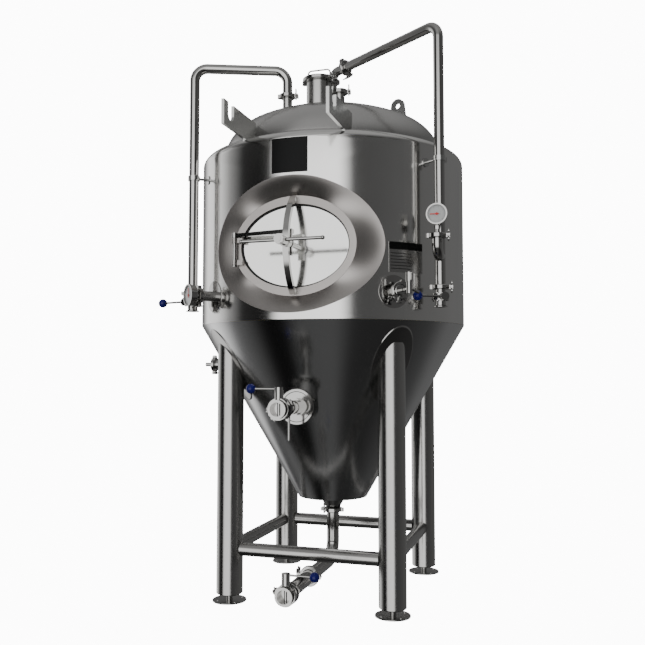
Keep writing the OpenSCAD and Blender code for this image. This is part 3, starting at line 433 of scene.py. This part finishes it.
@dataclass
class Tank:
    """Jacket, cone and head; lengths in millimetres."""

    jacket_r: float = 541.0
    vessel_r: float = 457.0
    seam_z: float = 1058.5
    side_z: float = 1709.4
    shoulder_r: float = 29.0
    slope: float = 21.4
    knuckle_r: float = 166.0
    crown_r: float = 844.0
    vessel_side_z: float = 1739.4
    cone_bottom_r: float = 140.0
    manway_z: float = 1328.0
    rim_rx: float = 324.0
    rim_rz: float = 246.0
    seam_gap: float = 0.3
    cone_hole_r: float = 30.0
    cols: int = 240

    def shoulder(self) -> Surface:
        """Rolled shoulder: an arc of the shoulder radius, then a slope up to the head.

        Returns:
            The surface.
        """
        a = np.linspace(0, math.radians(90 - self.slope), 17)
        centre_r = self.jacket_r - self.shoulder_r
        arc = np.stack([centre_r + self.shoulder_r * np.cos(a), self.side_z + self.shoulder_r * np.sin(a)], 1)
        end_r = self.vessel_r + 0.8
        end = [end_r, arc[-1, 1] + (arc[-1, 0] - end_r) * math.tan(math.radians(self.slope))]
        return revolve(np.vstack([arc, np.linspace(arc[-1], end, 6)[1:]]) * MM, self.cols)

    def on_side(self, azimuth: np.ndarray, height: np.ndarray) -> np.ndarray:
        """Points on the straight side: x is R sin(azimuth), y is -R cos(azimuth).

        Args:
            azimuth: azimuths in radians.
            height: heights in millimetres, of a shape that goes with the azimuths.

        Returns:
            One point in metres per row.
        """
        az, z = np.broadcast_arrays(azimuth, height)
        return np.stack([self.jacket_r * np.sin(az), -self.jacket_r * np.cos(az), z], -1).reshape(-1, 3) * MM

    def jacket(self) -> Surface:
        """Straight side with an oval hole, plus the shoulder.

        The front is a patch that blends from the oval to a rectangle on the unrolled side; the rest is a plain grid.
        The rectangle's corners are among the patch's points, so that its edge meets the grid.

        Returns:
            The surface.
        """
        half, rings, rows = 45.0, 14, 8
        low, high = self.seam_z + self.seam_gap, self.side_z
        rise, fall = high - self.manway_z, self.manway_z - low
        corners = np.arctan2([rise, rise, -fall, -fall], [half, -half, -half, half]) % (2 * np.pi)
        t = np.unique(np.concatenate([np.linspace(0, 2 * np.pi, 256, endpoint=False), corners]))
        across = np.degrees(np.arcsin(self.rim_rx * np.cos(t) / self.jacket_r))
        oval = np.stack([across, self.manway_z + self.rim_rz * np.sin(t)], 1)
        way = np.stack([np.cos(t) / half, np.sin(t) / np.where(np.sin(t) > 0, rise, fall)], 1)
        reach = 1 / np.abs(way).max(1)
        border = np.stack([np.cos(t) * reach, self.manway_z + np.sin(t) * reach], 1)
        share = np.linspace(0, 1, rings)[:, None, None]
        patch = oval[None] * (1 - share) + border[None] * share
        front = self.on_side(np.radians(patch[..., 0]), patch[..., 1])
        a = np.radians(np.linspace(half, 360 - half, 181))
        back = self.on_side(a[None, :], np.linspace(low, high, rows)[:, None])
        sheet = Surface(front, [grid_faces(rings, len(t), True)[:, ::-1]])
        return sheet + Surface(back, [grid_faces(rows, len(a), False)]) + self.shoulder()

    def head(self) -> Surface:
        """Dished head: an arc of the knuckle radius that meets an arc of the crown radius on the axis.

        It lies a fraction of a millimetre over the vessel's own head.

        Returns:
            The surface.
        """
        lift = 0.15
        knuckle_x = self.vessel_r - self.knuckle_r
        between = self.crown_r - self.knuckle_r
        crown_z = self.vessel_side_z - math.sqrt(between**2 - knuckle_x**2)
        meet = math.pi / 2 - math.asin(knuckle_x / between)
        a = np.linspace(0, meet, 25)
        b = np.linspace(meet, math.pi / 2, 49)[1:]
        small, large = self.knuckle_r + lift, self.crown_r + lift
        knuckle = np.stack([knuckle_x + small * np.cos(a), self.vessel_side_z + small * np.sin(a)], 1)
        crown = np.stack([large * np.cos(b), crown_z + large * np.sin(b)], 1)
        rows = np.vstack([knuckle, crown])
        rows[-1, 0] = 0
        return revolve(rows * MM, self.cols)

    def cone(self) -> Surface:
        """Cladding cone with a flat bottom: radius falls by tan 30 for each unit of height.

        Returns:
            The surface.
        """
        bottom_z = self.seam_z - (self.jacket_r - self.cone_bottom_r) / CONE_SLOPE
        rows = np.linspace([self.cone_bottom_r, bottom_z], [self.jacket_r, self.seam_z - self.seam_gap], 40)
        return revolve(np.vstack([[self.cone_hole_r, bottom_z], rows]) * MM, self.cols)


@dataclass
class Manway:
    """Flared collar round the manway; lengths in millimetres."""

    tank: Tank
    ring_rx: float = 233.4
    ring_rz: float = 182.9
    ring_y: float = 486.0

    def collar(self) -> Surface:
        """Flare from the jacket to the ring.

        The half axes shrink evenly from rim to ring, and the depth follows half a straight line plus half a cosine.

        Returns:
            The flare, with a narrow return along the jacket.
        """
        rows, cols = 25, 256
        tank = self.tank
        a = np.linspace(0, 2 * np.pi, cols, endpoint=False)[None, :]
        s = np.linspace(0, 1, rows)[:, None]
        x = (self.ring_rx + (tank.rim_rx - self.ring_rx) * (1 - s)) * np.cos(a)
        z = tank.manway_z + (self.ring_rz + (tank.rim_rz - self.ring_rz) * (1 - s)) * np.sin(a)
        rim = np.sqrt(tank.jacket_r**2 - (tank.rim_rx * np.cos(a)) ** 2)
        y = rim + (self.ring_y - rim) * 0.5 * (1 - np.cos(s * np.pi / 2) + s)
        outer = Surface(np.stack([x, -y, z], -1).reshape(-1, 3) * MM, [grid_faces(rows, cols, True)])
        lip = np.stack([x[0], -rim[0], z[0]], -1)
        back = lip * [0.995, 1, 1] + [0, 3, 0]
        edge = Surface(np.vstack([lip, back]) * MM, [grid_faces(2, cols, True)[:, ::-1]])
        return outer + edge


@dataclass
class Frame:
    """Legs with their pads, and the crossbars; lengths in millimetres."""

    tank: Tank
    spread: float = 319.0
    leg_r: float = 50.8
    pad_r: float = 78.8
    pad_t: float = 3.0
    foot_z: float = 28.0
    top_z: float = 980.0
    bar_z: float = 196.5
    bar_r: float = 25.4

    def leg(self, sx: int, sy: int) -> Surface:
        """Tube with a small chamfer below, its top inside the cone, and the pad.

        A pad point's height is where the cone, grown by the pad's thickness, has that point's distance from the axis.

        Args:
            sx: 1 for the right, -1 for the left.
            sy: 1 for the back, -1 for the front.

        Returns:
            The leg.
        """
        r, foot, cols, rings = self.leg_r, self.foot_z, 128, 12
        rows = np.array([[0, foot], [48, foot], [r, foot + 3], [r, 120], [r, self.top_z], [0, self.top_z]])
        tube = revolve(rows * MM, 96).placed(np.eye(3), np.array([sx, sy, 0]) * self.spread * MM)
        a = np.linspace(0, 2 * np.pi, cols, endpoint=False)[None, :]
        grow = self.pad_t / math.cos(math.radians(30))
        rho = np.append(np.linspace(r - 2, self.pad_r - 1, rings), [self.pad_r, self.pad_r])[:, None]
        lift = np.append(np.full(rings, grow), [grow * 0.8, -grow * 0.3])[:, None]
        x, y = sx * self.spread + rho * np.cos(a), sy * self.spread + rho * np.sin(a)
        z = self.tank.seam_z - (self.tank.jacket_r + lift - np.hypot(x, y)) / CONE_SLOPE
        pad = Surface(np.stack([x, y, z], -1).reshape(-1, 3) * MM, [grid_faces(len(rho), cols, True)])
        return tube + pad

    def bars(self) -> Surface:
        """Four level tubes from leg to leg.

        Returns:
            The four tubes.
        """
        reach, side = self.spread - self.leg_r + 3, self.spread
        ends = (
            ((-reach, -side), (reach, -side)),
            ((side, -reach), (side, reach)),
            ((reach, side), (-reach, side)),
            ((-side, reach), (-side, -reach)),
        )
        paths = (np.linspace([*a, self.bar_z], [*b, self.bar_z], 5) * MM for a, b in ends)
        return joined([sweep(path, self.bar_r * MM, 64) for path in paths])


@dataclass(frozen=True)
class Pipework:
    """Pipes of one size with their ferrules and bends; lengths in millimetres."""

    pipe_r: float = 19.05
    ferrule_r: float = 25.25
    bend_r: float = 50.0
    wall: float = 1.6
    cols: int = 64

    def ferrule(self, spot: np.ndarray, axis: np.ndarray) -> Surface:
        """Ferrule collar with its pipe's bore, blocked further in.

        Args:
            spot: middle of its mating face.
            axis: the way that the mating face looks.

        Returns:
            The ferrule.
        """
        r, rim, bore, face = self.pipe_r, self.ferrule_r, self.pipe_r - self.wall, -0.8
        rows = np.array([[r, -12], [r, -7.2], [rim, -3.8], [rim, face], [bore, face], [bore, -30], [0, -30]])
        return revolve(rows * MM, self.cols).placed(turned(axis), spot * MM)

    def route(self, corners: list[np.ndarray]) -> np.ndarray:
        """Path through corners, each rounded by a quarter bend that starts and ends a bend radius from the corner.

        Args:
            corners: points in millimetres; the first and last are the ends.

        Returns:
            Points in metres.
        """
        path = [corners[0]]
        a = np.linspace(0, np.pi / 2, 25)[:, None]
        for before, corner, after in zip(corners[:-2], corners[1:-1], corners[2:]):
            u = (before - corner) / np.linalg.norm(before - corner)
            v = (after - corner) / np.linalg.norm(after - corner)
            path.extend(corner + self.bend_r * (u * (1 - np.sin(a)) + v * (1 - np.cos(a))))
        path.append(corners[-1])
        return np.array(path) * MM

    def tube(self, corners: list[np.ndarray], cols: int = 48) -> Surface:
        """Pipe along a route.

        Args:
            corners: the route's corners in millimetres.
            cols: points round the pipe.

        Returns:
            The pipe.
        """
        return sweep(self.route(corners), self.pipe_r * MM, cols)


def ball(spot: np.ndarray, radius: float) -> Surface:
    """Ball: the ring at a latitude has the radius times its cosine, and stands at the radius times its sine.

    Args:
        spot: its middle in metres.
        radius: its radius in millimetres.

    Returns:
        The ball.
    """
    a = np.linspace(-np.pi / 2, np.pi / 2, 33)
    rows = np.stack([radius * np.cos(a), radius * np.sin(a)], 1)
    rows[[0, -1], 0] = 0
    return revolve(rows * MM, 64).placed(np.eye(3), spot)


def curved_plate(azimuth: float, width: float, low: float, high: float, inner: float, thick: float) -> Surface:
    """Plate that follows the jacket: a grid on a cylinder with a rim all round and a back.

    Args:
        azimuth: azimuth of its middle, in degrees.
        width: its width along the chord, in millimetres.
        low: height of its lower edge, in millimetres.
        high: height of its upper edge, in millimetres.
        inner: radius of its back, in millimetres.
        thick: its thickness, in millimetres.

    Returns:
        The plate.
    """
    cols = 33
    half = math.degrees(math.asin(width / 2 / inner))
    a = np.radians(np.linspace(azimuth - half, azimuth + half, cols))
    rows = np.array([[inner, low], [inner + thick, low], [inner + thick, high], [inner, high], [inner, low]])
    x, y = np.outer(rows[:, 0], np.sin(a)), -np.outer(rows[:, 0], np.cos(a))
    pts = np.stack([x, y, np.outer(rows[:, 1], np.ones(cols))], -1)
    first = np.arange(4)[None, :] * cols
    caps = [first[:, ::-1], first + cols - 1]
    return Surface(pts.reshape(-1, 3) * MM, [grid_faces(len(rows), cols, False)] + caps)


@dataclass(frozen=True)
class Dial:
    """One round instrument: where its face is and how its scale runs; lengths in millimetres."""

    name: str
    centre: tuple[float, float, float]
    axis: tuple[float, float, float]
    radius: float

    def face(self) -> Surface:
        """Flat disc that fills the case's recess.

        Returns:
            The disc.
        """
        r, top = self.radius, 0.3
        return self._placed(revolve(np.array([[r, -top], [r, top], [r * 0.5, top], [0, top]]) * MM, 96))

    def ticks(self) -> Surface:
        """Scale marks: a box at each step over the scale's angle, every fourth one longer.

        Returns:
            The marks.
        """
        steps = 28
        angles = np.radians(np.linspace(-45, 225, steps))
        box = np.array([[x, y, z] for z in (0.2, 0.6) for x, y in ((0, -0.45), (1, -0.45), (1, 0.45), (0, 0.45))])
        length = np.where(np.arange(steps) % 4 == 0, 0.17, 0.09) * self.radius
        start = self.radius * 0.93 - length
        along = start[:, None] + box[None, :, 0] * length[:, None]
        across, height = np.tile(box[:, 1], (steps, 1)), np.tile(box[:, 2], (steps, 1))
        c, sn = np.cos(angles)[:, None], np.sin(angles)[:, None]
        pts = np.stack([along * c - across * sn, along * sn + across * c, height], -1)
        quads = np.array([[3, 2, 1, 0], [4, 5, 6, 7], [0, 1, 5, 4], [1, 2, 6, 5], [2, 3, 7, 6], [3, 0, 4, 7]])
        faces = (quads[None] + len(box) * np.arange(steps)[:, None, None]).reshape(-1, 4)
        return self._placed(Surface(pts.reshape(-1, 3) * MM, [faces]))

    def _placed(self, surface: Surface) -> Surface:
        """A surface about the origin, put where the dial is."""
        return surface.placed(turned(np.array(self.axis)), np.array(self.centre) * MM)


@dataclass(frozen=True)
class Band:
    """One step of the studio's surroundings: an azimuth in degrees and the light from there."""

    azimuth: float
    light: float


@dataclass
class Studio:
    """World, lights, floor and camera."""

    upper: tuple[Band, ...] = (
        Band(-180, 0.14), Band(-134, 0.2), Band(-120, 1.7), Band(-100, 1.5), Band(-82, 0.4),
        Band(-66, 0.03), Band(-38, 0.004), Band(-28, 2.1), Band(22, 2.4), Band(33, 0.08), Band(50, 0.1),
        Band(90, 0.14), Band(140, 0.17), Band(180, 0.14),
    )
    lower: tuple[Band, ...] = (
        Band(-180, 0.08), Band(-120, 0.05), Band(-95, 0.18), Band(-74, 0.08), Band(-62, 0.002),
        Band(-40, 0.002), Band(-24, 0.10), Band(20, 0.11), Band(42, 0.03), Band(90, 0.03), Band(140, 0.08),
        Band(180, 0.08),
    )
    roof: tuple[tuple[float, float], ...] = ((0.0, 0.0), (0.30, 0.0), (0.50, 0.85), (1.0, 1.0))
    ceiling: tuple[tuple[float, float], ...] = ((0.0, 0.02), (0.50, 0.035), (0.66, 0.08), (0.82, 0.11), (1.0, 0.11))
    strength: float = 4.0
    white: float = 12.0

    def world(self) -> None:
        """Surroundings as light by azimuth for glossy rays, darker well below the horizon, and plain white behind."""
        world = bpy.data.worlds.new("studio")
        bpy.context.scene.world = world
        world.use_nodes = True
        tree = world.node_tree
        tree.nodes.clear()
        way = add_node(tree, "ShaderNodeTexCoord").outputs["Generated"]
        xyz = add_node(tree, "ShaderNodeSeparateXYZ", links={0: way}).outputs
        back = add_node(tree, "ShaderNodeMath", {"operation": "MULTIPLY", 1: -1.0}, {0: xyz["Y"]})
        angle = add_node(tree, "ShaderNodeMath", {"operation": "ARCTAN2"}, {0: xyz["X"], 1: back.outputs[0]})
        circle = {"From Min": -math.pi, "From Max": math.pi}
        turn = add_node(tree, "ShaderNodeMapRange", circle, {"Value": angle.outputs[0]}).outputs[0]
        above = self._ramp(tree, turn, self._steps(self.upper))
        below = self._ramp(tree, turn, self._steps(self.lower))
        horizon = {"From Min": -0.52, "From Max": -0.36}
        share = add_node(tree, "ShaderNodeMapRange", horizon, {"Value": xyz["Z"]}).outputs[0]
        blend = {"data_type": "RGBA"}
        sides = add_node(tree, "ShaderNodeMix", blend, {0: share, 6: below, 7: above}).outputs[2]
        roof = self._ramp(tree, xyz["Z"], self.roof)
        ceiling = self._ramp(tree, xyz["Z"], self.ceiling)
        whole = add_node(tree, "ShaderNodeMix", blend, {0: roof, 6: sides, 7: ceiling}).outputs[2]
        around = add_node(tree, "ShaderNodeBackground", {"Strength": self.strength}, {"Color": whole}).outputs[0]
        backdrop = {"Color": (1, 1, 1, 1), "Strength": self.white}
        plain = add_node(tree, "ShaderNodeBackground", backdrop).outputs[0]
        seen = add_node(tree, "ShaderNodeLightPath").outputs["Is Camera Ray"]
        mix = add_node(tree, "ShaderNodeMixShader", links={0: seen, 1: around, 2: plain})
        add_node(tree, "ShaderNodeOutputWorld", links={"Surface": mix.outputs[0]})

    def _steps(self, bands: tuple[Band, ...]) -> list[tuple[float, float]]:
        """Steps for a ramp: place is the azimuth's share of the circle, and grey is the light over the strength.

        Args:
            bands: the surroundings, by rising azimuth.

        Returns:
            Pairs of place and grey.
        """
        return [((band.azimuth + 180) / 360, band.light / self.strength) for band in bands]

    @staticmethod
    def _ramp(
        tree: bpy.types.NodeTree, value: bpy.types.NodeSocket, steps: Sequence[tuple[float, float]]
    ) -> bpy.types.NodeSocket:
        """Adds a ramp.

        Args:
            tree: the node tree that gets it.
            value: socket that feeds it.
            steps: pairs of place and grey.

        Returns:
            Its colour socket.
        """
        node = add_node(tree, "ShaderNodeValToRGB", links={0: value})
        ramp = node.color_ramp
        while len(ramp.elements) > 1:
            ramp.elements.remove(ramp.elements[-1])
        ramp.elements[0].position = steps[0][0]
        ramp.elements[0].color = (steps[0][1],) * 3 + (1,)
        for place, grey in steps[1:]:
            ramp.elements.new(place).color = (grey,) * 3 + (1,)
        return node.outputs[0]

    def floor(self, kit: MaterialKit) -> None:
        """Plain pale floor that polished surfaces don't mirror.

        Args:
            kit: makes its material.
        """
        edge, z = 30.0, -0.001
        mesh = bpy.data.meshes.new("floor")
        mesh.from_pydata([(-edge, -edge, z), (edge, -edge, z), (edge, edge, z), (-edge, edge, z)], [], [(0, 1, 2, 3)])
        floor = bpy.data.objects.new("floor", mesh)
        bpy.context.scene.collection.objects.link(floor)
        mat = kit.get("floor", FLOOR)
        tree = mat.node_tree
        out = next(n for n in tree.nodes if n.bl_idname == "ShaderNodeOutputMaterial")
        matt = out.inputs[0].links[0].from_socket
        glow = add_node(tree, "ShaderNodeEmission", {"Strength": self.white}).outputs[0]
        seen = add_node(tree, "ShaderNodeLightPath").outputs["Is Camera Ray"]
        both = add_node(tree, "ShaderNodeMixShader", links={0: seen, 1: matt, 2: glow})
        tree.links.new(both.outputs[0], out.inputs[0])
        mesh.materials.append(mat)
        floor.visible_glossy = False
        floor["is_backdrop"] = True

    def lights(self) -> None:
        """Soft area lights to both sides and above, aimed at the tank's middle."""
        middle = np.array([0, 0, 1.1])
        lamps = (
            ("key", (-3.0, -3.5, 4.0), 3.0, 120),
            ("fill", (3.5, -3.0, 2.5), 3.0, 60),
            ("top", (0, 0, 5.0), 4.0, 120),
        )
        for name, spot, size, power in lamps:
            data = bpy.data.lights.new(name, "AREA")
            data.size = size
            data.energy = power
            lamp = bpy.data.objects.new(name, data)
            lamp.location = spot
            lamp.visible_glossy = False
            x, y, z = middle - np.array(spot)
            lamp.rotation_euler = (math.atan2(math.hypot(x, y), -z), 0, math.atan2(y, x) - math.pi / 2)
            bpy.context.scene.collection.objects.link(lamp)

    def camera(self) -> None:
        """Camera at the photograph's viewing angle."""
        data = bpy.data.cameras.new("camera")
        data.lens = 42.80
        data.sensor_width = 36.0
        cam = bpy.data.objects.new("camera", data)
        cam.location = (0.9206, -3.0733, 0.8819)
        cam.rotation_euler = (math.radians(93.507), 0, math.radians(17.45))
        bpy.context.scene.collection.objects.link(cam)
        bpy.context.scene.camera = cam


@dataclass(frozen=True)
class Layout:
    """Where the lines and instruments are: azimuths in degrees from -Y towards +X, lengths in millimetres."""

    gas_azimuth: float = -48.0
    gas_r: float = 600.0
    gas_top: float = 2067.0
    gas_port: tuple[float, float, float] = (-108.0, -264.0, 1965.0)
    cip_azimuth: float = 56.0
    cip_r: float = 608.0
    cip_top: float = 2144.0
    cip_start: float = 84.0
    arm_end: float = 1176.0
    gauge_front: float = 60.0
    gauge_port: float = 1352.0
    gauge_neck: float = 24.0
    gauge_bend: float = 42.0
    gauge_z: float = 1428.0
    dump_z: float = 112.0
    dump_joint: float = 307.0
    dump_end: float = 536.0
    dump_gap: float = 4.25
    ferrule: float = 11.0
    thermometer_azimuth: float = -40.3
    thermometer_r: float = 644.15
    thermometer_z: float = 1160.0
    data_azimuth: float = 45.9
    text_azimuth: float = 43.5
    plate_r: float = 541.15
    print_r: float = 542.2


LAYOUT = Layout()


def add_arms(build: Builder) -> None:
    """Adds the gas arm and the cleaning arm.

    Args:
        build: makes the pieces.
    """
    at, pipes = LAYOUT, Pipework()
    end, collar = UP * at.arm_end, UP * at.ferrule
    port = np.array(at.gas_port)
    foot = polar(at.gas_azimuth, at.gas_r, 0) / MM
    level = UP * at.gas_top
    gas = pipes.tube([port + collar, port * [1, 1, 0] + level, foot + level, foot + end + collar])
    parts = [gas, pipes.ferrule(port, -UP), pipes.ferrule(foot + end, -UP)]
    build.piece("gas_arm", joined(parts), Slot.POLISHED, ("gas_arm_pipe",))
    foot = polar(at.cip_azimuth, at.cip_r, 0) / MM
    out = foot / np.linalg.norm(foot)
    top = UP * at.cip_top
    start = top + out * at.cip_start
    gauge = foot + FRONT * at.gauge_front
    turn = UP * (at.gauge_port - at.gauge_neck - at.gauge_bend)
    branch = Pipework(bend_r=at.gauge_bend)
    parts = [
        pipes.tube([start + out * at.ferrule, top + foot, foot + end + collar]),
        branch.tube([foot + turn, gauge + turn, gauge + UP * at.gauge_port - collar]),
        pipes.ferrule(start, -out),
        pipes.ferrule(foot + end, -UP),
        pipes.ferrule(gauge + UP * at.gauge_port, UP),
    ]
    build.piece("cleaning_arm", joined(parts), Slot.POLISHED, ("cip_arm_pipe",))


def add_dump_line(build: Builder, tank: Tank) -> None:
    """Adds the dump line in its two lengths.

    Args:
        build: makes the piece.
        tank: gives the cone tip's height.
    """
    at, pipes = LAYOUT, Pipework(pipe_r=25.4, ferrule_r=31.95, bend_r=76.0)
    top = UP * (tank.seam_z - (tank.vessel_r - pipes.pipe_r) / CONE_SLOPE - at.dump_gap)
    level = UP * at.dump_z
    joint, end = level + FRONT * at.dump_joint, level + FRONT * at.dump_end
    collar = FRONT * at.ferrule
    line = np.linspace(joint + collar, end - collar, 5) * MM
    parts = [
        pipes.tube([top - UP * at.ferrule, level, joint - collar], 64),
        sweep(line, pipes.pipe_r * MM, 64),
        pipes.ferrule(top, UP),
        pipes.ferrule(joint, FRONT),
        pipes.ferrule(joint, -FRONT),
        pipes.ferrule(end, FRONT),
    ]
    build.piece("dump_line", joined(parts), Slot.POLISHED, ("dump_pipe",))


def add_knobs(build: Builder) -> None:
    """Adds a ball at the end of each valve lever.

    Args:
        build: makes the pieces.
    """
    knob_r = 17.0
    for valve in ("gas", "cip", "racking", "dump"):
        knob = f"{valve}_valve_knob"
        low, high = (np.array(corner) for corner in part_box(knob))
        build.piece(f"{valve}_knob_ball", ball((low + high) / 2, knob_r), Slot.KNOB, (knob,), f"{valve}_valve_lever")


def add_instruments(build: Builder) -> None:
    """Adds the dial faces with their scales.

    Args:
        build: makes the pieces.
    """
    at = LAYOUT
    thermo = polar(at.thermometer_azimuth, 1, 0) / MM
    foot = polar(at.cip_azimuth, at.cip_r, 0) / MM
    gauge = foot + FRONT * (at.gauge_front + 10.4)
    dials = (
        Dial("thermometer", tuple(thermo * at.thermometer_r + UP * at.thermometer_z), tuple(thermo), 37.0),
        Dial("pressure", tuple(gauge + UP * at.gauge_z), tuple(FRONT), 32.5),
    )
    for dial in dials:
        build.piece(f"{dial.name}_face", dial.face(), Slot.POLISHED, finish=DIAL_FACE)
        build.piece(f"{dial.name}_scale", dial.ticks(), Slot.POLISHED, finish=DIAL_TICK)


def add_plates(build: Builder) -> None:
    """Adds the badge plate, blank, and the data plate with a header and rules in place of print.

    Args:
        build: makes the pieces.
    """
    at, ink = LAYOUT, 0.4
    badge = curved_plate(0, 135, 1583, 1708.4, at.plate_r, 1.5)
    build.piece("badge_plate", badge, Slot.NAME, ("name_plates",))
    data = curved_plate(at.data_azimuth, 144, 1228, 1337, at.plate_r, 1.2)
    build.piece("data_plate", data, Slot.NAME, ("name_plates",), finish=PALE_LABEL)
    header = curved_plate(at.data_azimuth, 144, 1310, 1337, at.print_r, ink)
    build.piece("data_plate_header", header, Slot.NAME, finish=DARK_LABEL)
    rules = [curved_plate(at.text_azimuth, 86, z, z + 2.2, at.print_r, ink) for z in range(1240, 1305, 11)]
    build.piece("data_plate_rules", joined(rules), Slot.NAME, finish=DARK_LABEL)


def dress_cad_nodes(kit: MaterialKit) -> None:
    """Gives each CAD node its slot's finish and smooth shading.

    Args:
        kit: makes the materials.
    """
    slots = {row["node"]: Slot(row["material_slot"]) for row in frame["record"]["subparts"]}
    for name, obj in frame["nodes"].items():
        slot = slots[name]
        obj.data.materials.clear()
        obj.data.materials.append(kit.get(slot.value, FINISHES[slot]))
        obj.data.shade_smooth()
        obj.data.set_sharp_from_angle(angle=math.radians(NODE_SHARP))


def write_size(when: str, sizes: dict) -> None:
    """Args:
        when: name of the moment.
        sizes: the bounds kept so far, by moment.
    """
    low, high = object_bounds()
    sizes[when] = {"low": list(low), "high": list(high)}


def main() -> None:
    """Builds everything."""
    logging.basicConfig(level=logging.INFO, format="%(name)s %(message)s")
    sizes: dict = {}
    write_size("loaded", sizes)
    kit = MaterialKit()
    dress_cad_nodes(kit)
    build = Builder(kit)
    tank = Tank()
    build.piece("jacket_skin", tank.jacket(), Slot.JACKET, ("jacket_shell",))
    build.piece("cone_skin", tank.cone(), Slot.CONE, ("cone_cladding",))
    build.piece("head_skin", tank.head(), Slot.VESSEL)
    build.piece("collar_skin", Manway(tank).collar(), Slot.MANWAY, ("manway_collar",))
    legs = Frame(tank)
    for name, sx, sy in (("front_left", -1, -1), ("front_right", 1, -1), ("rear_left", -1, 1), ("rear_right", 1, 1)):
        build.piece(f"leg_{name}_skin", legs.leg(sx, sy), Slot.LEG, (f"leg_{name}",))
    build.piece("crossbar_skins", legs.bars(), Slot.LEG, ("leg_crossbars",))
    add_arms(build)
    add_dump_line(build, tank)
    add_knobs(build)
    add_instruments(build)
    add_plates(build)
    studio = Studio()
    studio.world()
    studio.floor(kit)
    studio.lights()
    studio.camera()
    write_size("finished", sizes)
    LOG.info("%d pieces added", build.count)


if __name__ == "__main__":
    main()
